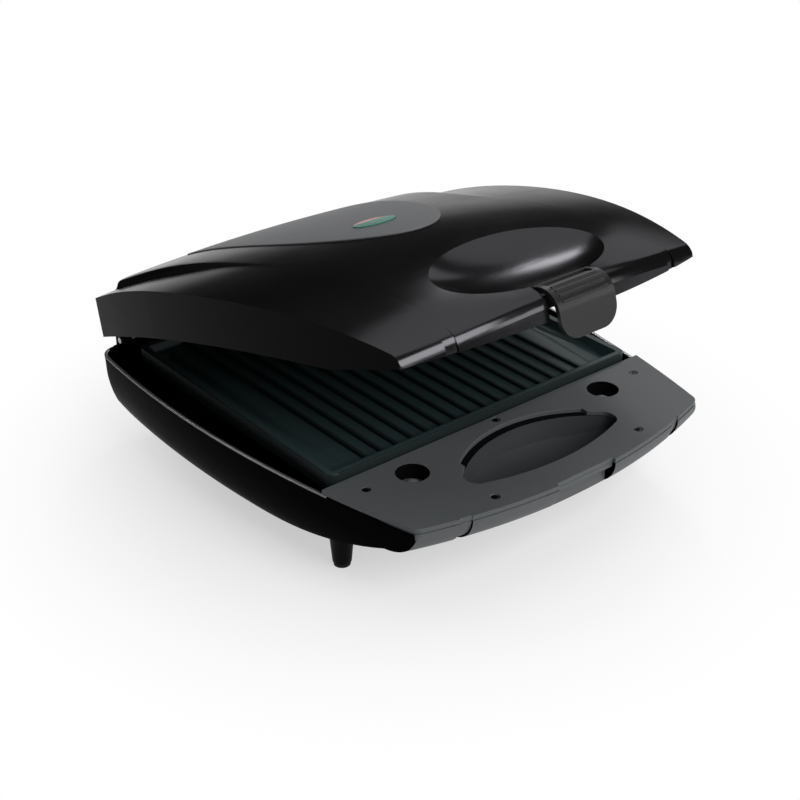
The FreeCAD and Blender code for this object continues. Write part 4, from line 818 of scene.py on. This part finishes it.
@dataclass
class GrillPlate:
    """Cast plate: rounded rim with an outer wall painted darker as shade, sloping basin, drip channels and
    ribs.
    """

    node: str
    body: Body
    finish: Finish
    # Finish of the outer wall: painted shade.
    wall_finish: Finish
    corner: float = 6.0 * MM
    rim_width: float = 5.0 * MM
    basin: float = 5.3 * MM
    floor_thick: float = 3.0 * MM
    skirt: float = 10.0 * MM
    closed_gap: float = 0.8 * MM
    rib_count: int = 16
    rib_pitch: float = 11.5 * MM
    rib_foot: float = 3.3 * MM
    rib_crest: float = 2.3 * MM
    rib_height: float = 1.9 * MM
    rib_round: float = 0.35 * MM
    rib_round_steps: int = 4
    rib_end: float = 3.2 * MM
    channel_inset: float = 13.3 * MM
    channel_depth: float = 1.6 * MM
    channel_front: float = 7.5 * MM
    channel_rear: float = 2.6 * MM
    channel_start: float = 15.5 * MM
    channel_narrow: float = 62.0 * MM
    channel_edge: float = 3.0 * MM
    boss_radius: float = 5.0 * MM
    boss_x: float = 40.0 * MM
    boss_inset: float = 55.0 * MM
    boss_drop: float = 11.2 * MM
    boss_sides: int = 32
    boss_draft: float = 0.96
    wall_skin: float = 0.6 * MM
    least_corner: float = 1.5 * MM
    rim_round: float = 0.9 * MM
    round_share: float = 0.3
    wall_slope: float = 1.0 * MM
    floor_round: float = 1.2 * MM
    rib_sunk: float = 0.8 * MM
    columns: int = 170
    rows: int = 130
    crowding: float = 0.35
    weld_reach: float = 0.001 * MM
    crease_degrees: float = 40.0

    def measure(self) -> None:
        """Take the outline from the lower plate's CAD box."""
        low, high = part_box("lower_plate")
        self.half_width = (high[0] - low[0]) / 2
        self.front = low[1]
        self.rear = high[1]
        self.rim_top = low[2] + (self.basin + self.floor_thick + self.boss_drop)
        self.floor = self.rim_top - self.basin

    def half_at(self, y: float, inset: float) -> float:
        """Half width of the rounded outline at a place along Y.

        Args:
            y: Place along Y.
            inset: How far inside the outline.

        Returns:
            Half width there.
        """
        radius = max(self.corner - inset, self.least_corner)
        near = min(y - self.front, self.rear - y) - inset
        if near >= radius:
            return self.half_width - inset
        rise = radius - max(near, 0.0)
        return self.half_width - inset - radius + math.sqrt(max(radius**2 - rise**2, 0.0))

    def stations(self, inset: float) -> list[float]:
        """Rows along Y, crowded at the rounded corners.

        Args:
            inset: How far inside the outline.

        Returns:
            Places along Y from front to rear.
        """
        middle = (self.front + self.rear) / 2
        reach = (self.rear - self.front) / 2 - inset
        turns = [math.pi * (i / self.rows - 0.5) for i in range(self.rows + 1)]
        shares = [self.crowding * math.sin(t) + (1 - self.crowding) * t / (math.pi / 2) for t in turns]
        return [middle + reach * share for share in shares]

    def ring(self, sheet: Sheet, inset: float, z: float) -> list[bmesh.types.BMVert]:
        """Add a closed ring round the plate.

        Args:
            sheet: Mesh that gets the ring.
            inset: How far inside the outline.
            z: Its height.

        Returns:
            The ring's vertices.
        """
        ys = self.stations(inset)
        shares = [2 * i / self.columns - 1 for i in range(self.columns + 1)]
        first = [(share * self.half_at(ys[0], inset), ys[0]) for share in shares]
        right = [(self.half_at(y, inset), y) for y in ys[1:-1]]
        last = [(-share * self.half_at(ys[-1], inset), ys[-1]) for share in shares]
        left = [(-self.half_at(y, inset), y) for y in reversed(ys[1:-1])]
        return [sheet.verts.new((x, y, z)) for x, y in first + right + last + left]

    def channel_drop(self, x: float, y: float) -> float:
        """Depth of the drip channel at a place on the floor.

        Args:
            x: Place across.
            y: Place along.

        Returns:
            How far the floor lies lower there.
        """
        start = self.front + self.channel_start
        end = self.rear - self.channel_start
        along = min(max(y, start), end)
        share = min((along - start) / (self.channel_narrow - self.channel_start), 1.0)
        radius = self.channel_front + (self.channel_rear - self.channel_front) * share
        away = math.hypot(abs(x) - (self.half_width - self.channel_inset), y - along)
        depth = min(max((radius - away) / self.channel_edge + 0.5, 0.0), 1.0)
        return self.channel_depth * depth * depth * (3 - 2 * depth)

    def tray(self) -> Sheet:
        """Model the rim, the walls, the floor and the underside.

        Returns:
            The closed tray.
        """
        sheet = bmesh.new()
        top = self.rim_top
        width = self.rim_width
        round_off = self.rim_round
        part = self.round_share * round_off
        foot = width + self.wall_slope
        bend = self.floor_round / 3
        hollow = self.floor_thick
        profile = [
            (hollow, self.floor - hollow), (hollow, top - self.skirt), (0.0, top - self.skirt),
            (0.0, top - round_off), (part, top - part), (round_off, top), (width - round_off, top),
            (width - part, top - part), (width, top - round_off), (foot, self.floor + self.floor_round),
            (foot + bend, self.floor + bend),
        ]
        rings = [self.ring(sheet, inset, z) for inset, z in profile]
        inner = foot + self.floor_round
        ys = self.stations(inner)
        grid = []
        for y in ys:
            half = self.half_at(y, inner)
            xs = [half * (2 * i / self.columns - 1) for i in range(self.columns + 1)]
            grid.append([sheet.verts.new((x, y, self.floor - self.channel_drop(x, y))) for x in xs])
        right_side = [row[-1] for row in grid[1:-1]]
        left_side = [row[0] for row in grid[-2:0:-1]]
        rings.append(grid[0] + right_side + grid[-1][::-1] + left_side)
        sheet.faces.new(rings[0])
        for lower, upper in zip(rings, rings[1:]):
            for i, vert in enumerate(lower):
                after = (i + 1) % len(lower)
                sheet.faces.new((vert, lower[after], upper[after], upper[i]))
        for near, far in zip(grid, grid[1:]):
            for i in range(self.columns):
                sheet.faces.new((near[i], near[i + 1], far[i + 1], far[i]))
        bmesh.ops.remove_doubles(sheet, verts=sheet.verts, dist=self.weld_reach)
        bmesh.ops.recalc_face_normals(sheet, faces=sheet.faces)
        return sheet

    def mark_wall(self, sheet: Sheet) -> None:
        """Give the outer wall the second finish, its painted shade."""
        for face in sheet.faces:
            middle = face.calc_center_median()
            beside = self.half_at(middle.y, 0.0) - abs(middle.x)
            if min(middle.y - self.front, self.rear - middle.y, beside) < self.wall_skin:
                face.material_index = 1

    def bosses(self, sheet: Sheet) -> None:
        """Add the four screw bosses under the floor."""
        under = self.floor - self.floor_thick
        for x in (-self.boss_x, self.boss_x):
            for y in (self.front + self.boss_inset, self.rear - self.boss_inset):
                middle = Matrix.Translation((x, y, under - self.boss_drop / 2))
                bmesh.ops.create_cone(sheet, cap_ends=True, segments=self.boss_sides,
                                      radius1=self.boss_draft * self.boss_radius, radius2=self.boss_radius,
                                      depth=self.boss_drop, matrix=middle)

    def ribs(self) -> Mesh:
        """Lay the ribs with a node tree.

        Returns:
            Their mesh.
        """
        length = self.rear - self.front - 2 * (self.rim_width + self.rib_end)
        tree, size, values = geometry_tree("ribs", {
            "Count": self.rib_count, "Pitch": self.rib_pitch, "Foot Width": self.rib_foot,
            "Crest Width": self.rib_crest, "Height": self.rib_height + self.rib_sunk,
            "Round": self.rib_round, "Start": -length / 2, "End": length / 2})
        # The section lies upside down along the spine, so its bottom makes the crest.
        section = add(tree, "GeometryNodeCurvePrimitiveQuadrilateral",
                      {"Bottom Width": size["Crest Width"], "Top Width": size["Foot Width"],
                       "Height": size["Height"], "Offset": 0.0}, mode="TRAPEZOID")
        section = add(tree, "GeometryNodeFilletCurve",
                      {"Curve": section.outputs[0], "Radius": size["Round"], "Count": self.rib_round_steps},
                      mode="POLY")
        spine = add(tree, "GeometryNodeCurvePrimitiveLine",
                    {"Start": vector(tree, Y=size["Start"]), "End": vector(tree, Y=size["End"])})
        rib = add(tree, "GeometryNodeCurveToMesh",
                  {"Curve": spine.outputs[0], "Profile Curve": section.outputs[0], "Fill Caps": True})
        row = add(tree, "GeometryNodeMeshLine",
                  {"Count": size["Count"], "Offset": vector(tree, X=size["Pitch"])})
        ribs = add(tree, "GeometryNodeInstanceOnPoints",
                   {"Points": row.outputs[0], "Instance": rib.outputs[0]})
        close_tree(tree, ribs.outputs[0], self.finish.material())
        mesh = baked(bpy.data.meshes.new("ribs"), [("NODES", {"node_group": tree} | values)])
        left = -(self.rib_count - 1) / 2 * self.rib_pitch
        level = self.floor + (self.rib_height - self.rib_sunk) / 2
        mesh.transform(Matrix.Translation((left, (self.front + self.rear) / 2, level)))
        return mesh

    def build(self) -> None:
        """Make the plate and put it in place."""
        self.measure()
        sheet = self.tray()
        self.mark_wall(sheet)
        self.bosses(sheet)
        sheet.from_mesh(self.ribs())
        mesh = bpy.data.meshes.new(self.node)
        if self.body is Body.LID:
            middle = Vector((0.0, 0.0, self.rim_top + self.closed_gap / 2))
            over = Matrix.Translation(middle) @ Matrix.Diagonal((1, 1, -1, 1)) @ Matrix.Translation(-middle)
            sheet.transform(rest_turn() @ over)
            bmesh.ops.reverse_faces(sheet, faces=sheet.faces)
        sheet.to_mesh(mesh)
        sheet.free()
        mesh.materials.append(self.finish.material())
        # The outer wall gets the painted shade.
        mesh.materials.append(self.wall_finish.material())
        shade(mesh, self.crease_degrees)
        settle(mesh, self.node + "_casting", self.body, self.node)


class CadDress:
    """Finishes of the CAD nodes that show as they are."""

    SIDE_FACING = 0.8
    LEDGE_SKIN = 0.3 * MM
    NODES: dict[str, Finish] = {
        "finger_well": SHADED_WELL_ABS, "lid_shell": LID_ABS, "lid_front_panel": FOOT_PP,
        "foot_pads": PAD_RUBBER, "socket_buffers": BUFFER_RUBBER, "lower_element": SHEATH_STEEL,
        "lower_element_clamps": SHEET_STEEL, "lower_heat_pan": SHEET_STEEL, "thermal_fuse": TINNED,
        "fuse_clip": SHEET_STEEL, "hinge_pins": PIN_STEEL, "upper_element": SHEATH_STEEL,
        "upper_element_clamps": SHEET_STEEL, "upper_heat_pan": SHEET_STEEL, "thermostat": PHENOLIC,
        "green_lens": GREEN_LENS, "red_lens": RED_LENS, "indicator_lamps": LAMP_GLASS,
        "lamp_holder": PHENOLIC, "latch_pin": BLACK_STEEL,
    }

    def dress(self) -> None:
        """Give each of these nodes its material."""
        for name, finish in self.NODES.items():
            mesh = frame["nodes"][name].data
            mesh.materials.clear()
            mesh.materials.append(finish.material())
            log.info("dressed %s", name)
        self.dress_lid_sides()
        self.dress_well_ledge()

    def dress_lid_sides(self) -> None:
        """Give the lid's side walls the black of painted shade."""
        mesh = frame["nodes"]["lid_shell"].data
        paint(mesh, SHADE_BLACK_ABS, lambda face: abs(face.normal.x) > self.SIDE_FACING)

    def dress_well_ledge(self) -> None:
        """Give the ledge behind the well the black of painted shade."""
        mesh = frame["nodes"]["finger_well"].data
        ledge = max(vert.co.z for vert in mesh.vertices) - self.LEDGE_SKIN
        paint(mesh, SHADE_BLACK_ABS, lambda face: face.normal.z > self.SIDE_FACING and face.center.z > ledge)


MOULDINGS = (
    TubShell("base_shell", Body.BASE, SHADED_TUB_ABS, 0.8),
    RoundedMoulding("feet", Body.BASE, FOOT_PP, 0.5),
    SocketDeck("front_deck", Body.BASE, DECK_ABS, 0.35),
    RoundedMoulding("terminal_block", Body.BASE, PHENOLIC, 0.4),
    RoundedMoulding("cord_gland", Body.BASE, FOOT_PP, 0.3),
    RoundedMoulding("indicator_panel", Body.LID, FLAKE_PAINT, 0.3),
    RoundedMoulding("latch_clip", Body.LATCH, LATCH_NYLON, 0.3),
)
SCREWS = (
    ScrewSet("deck_screws", Body.BASE, BLACK_STEEL),
    ScrewSet("lower_plate_screws", Body.BASE, ZINC_STEEL),
    ScrewSet("lower_pan_screws", Body.BASE, ZINC_STEEL),
    ScrewSet("lid_panel_screws", Body.LID, BLACK_STEEL),
    ScrewSet("upper_plate_screws", Body.LID, ZINC_STEEL),
    ScrewSet("upper_pan_screws", Body.LID, ZINC_STEEL),
)
PLATES = (
    GrillPlate("lower_plate", Body.BASE, NON_STICK, SHADED_STICK),
    GrillPlate("upper_plate", Body.LID, NON_STICK, SHADED_STICK),
)


@dataclass(frozen=True)
class SoftBox:
    """Soft lamp: its direction in degrees, its distance and size in metres, and its watts."""

    name: str
    azimuth: float
    elevation: float
    distance: float
    size: tuple[float, float]
    watts: float

    def hang(self, target: Vector) -> None:
        """Hang the lamp so that it points at the object.

        Args:
            target: Place that it points at.
        """
        data = bpy.data.lights.new(self.name, "AREA")
        data.shape = "RECTANGLE"
        data.size, data.size_y = self.size
        data.energy = self.watts
        away = direction(self.azimuth, self.elevation)
        obj = placed(self.name, data)
        obj.location = target + away * self.distance
        obj.rotation_euler = (-away).to_track_quat("-Z", "Y").to_euler()


LAMPS = (
    SoftBox("front_soft", azimuth=180.0, elevation=39.0, distance=1.5, size=(0.85, 0.85), watts=15.0),
    SoftBox("top_right", azimuth=65.0, elevation=66.0, distance=1.5, size=(1.5, 1.5), watts=7.5),
    SoftBox("front_right", azimuth=145.0, elevation=17.0, distance=1.5, size=(0.9, 0.5), watts=6.0),
    SoftBox("back_right_spot", azimuth=42.0, elevation=33.5, distance=1.6, size=(0.28, 0.24), watts=3.3),
    SoftBox("right_fill", azimuth=64.0, elevation=20.0, distance=1.6, size=(0.5, 0.5), watts=1.5),
    SoftBox("back_left_strip", azimuth=-25.0, elevation=42.0, distance=1.5, size=(0.9, 0.1), watts=3.0),
)


@dataclass
class Studio:
    """White floor, soft lamps and the camera."""

    floor_half: float = 6.0
    shadow_near: float = 0.1
    shadow_far: float = 0.3
    shadow_white: float = 0.55
    paper: str = "#f4f4f4"
    paper_roughness: float = 0.35
    paper_specular: float = 0.3
    surround: float = 0.06
    target: tuple[float, float, float] = (0.0, -0.05, 0.12)
    azimuth: float = 39.46
    elevation: float = 29.25
    lens_mm: float = 66.6
    sensor_mm: float = 36.0
    place: tuple[float, float, float] = (-0.5273, -0.63376, 0.5002)

    def floor_material(self) -> Material:
        """Pale sheet that shows as white away from the object and keeps its shadow close by.

        Returns:
            The finished material.
        """
        material, tree, where = blank_material("pale_studio_floor")
        path = add(tree, "ShaderNodeLightPath")
        seen = path.outputs["Is Camera Ray"]
        for ray in ("Is Glossy Ray", "Is Transmission Ray"):
            either = add(tree, "ShaderNodeMath", {0: seen, 1: path.outputs[ray]}, operation="MAXIMUM")
            seen = either.outputs[0]
        reach = add(tree, "ShaderNodeVectorMath", {0: where}, operation="LENGTH")
        fade = add(tree, "ShaderNodeMapRange",
                   {"Value": reach.outputs["Value"], "From Min": self.shadow_near,
                    "From Max": self.shadow_far, "To Min": self.shadow_white},
                   interpolation_type="SMOOTHSTEP")
        paper = add(tree, "ShaderNodeBsdfPrincipled",
                    {"Base Color": linear(self.paper), "Roughness": self.paper_roughness,
                     "Specular IOR Level": self.paper_specular})
        glow = add(tree, "ShaderNodeEmission", {"Color": (1.0, 1.0, 1.0, 1.0), "Strength": 1.0})
        mixed = add(tree, "ShaderNodeMixShader",
                    {0: product(tree, fade.outputs["Result"], seen), 1: paper.outputs["BSDF"],
                     2: glow.outputs["Emission"]})
        close_material(tree, mixed.outputs["Shader"])
        return material

    def floor(self) -> None:
        """Lay the floor under the feet."""
        half = self.floor_half
        mesh = bpy.data.meshes.new("studio_floor")
        mesh.from_pydata([(-half, -half, 0), (half, -half, 0), (half, half, 0), (-half, half, 0)], [],
                         [(0, 1, 2, 3)])
        obj = placed("studio_floor", mesh)
        mesh.materials.append(self.floor_material())

    def world(self) -> None:
        """Dim even surround."""
        world = bpy.data.worlds.new("studio_world")
        bpy.context.scene.world = world
        world.use_nodes = True
        tree = world.node_tree
        tree.nodes.clear()
        sky = add(tree, "ShaderNodeBackground", {"Color": (1.0, 1.0, 1.0, 1.0), "Strength": self.surround})
        add(tree, "ShaderNodeOutputWorld", {"Surface": sky.outputs["Background"]})

    def camera(self) -> None:
        """Set the camera at the photograph's angle."""
        data = bpy.data.cameras.new("camera")
        data.lens = self.lens_mm
        data.sensor_width = self.sensor_mm
        obj = placed("camera", data)
        obj.location = self.place
        look = direction(self.azimuth, -self.elevation)
        obj.rotation_euler = look.to_track_quat("-Z", "Y").to_euler()
        bpy.context.scene.camera = obj

    def build(self) -> None:
        """Set up floor, light and camera."""
        self.floor()
        self.world()
        for lamp in LAMPS:
            lamp.hang(Vector(self.target))
        self.camera()
        bpy.context.scene.view_settings.view_transform = "Standard"
        log.info("studio is set")


def clear_leftovers() -> None:
    """Remove whatever the empty file holds besides the frame."""
    kept = set(frame["nodes"].values()) | set(frame["bodies"].values())
    for obj in list(bpy.data.objects):
        if obj not in kept:
            bpy.data.objects.remove(obj)


def main() -> None:
    """Dress the part and set the studio."""
    logging.basicConfig(level=logging.INFO)
    clear_leftovers()
    CadDress().dress()
    for piece in MOULDINGS + SCREWS + PLATES:
        piece.build()
    Studio().build()


if __name__ == "__main__":
    main()
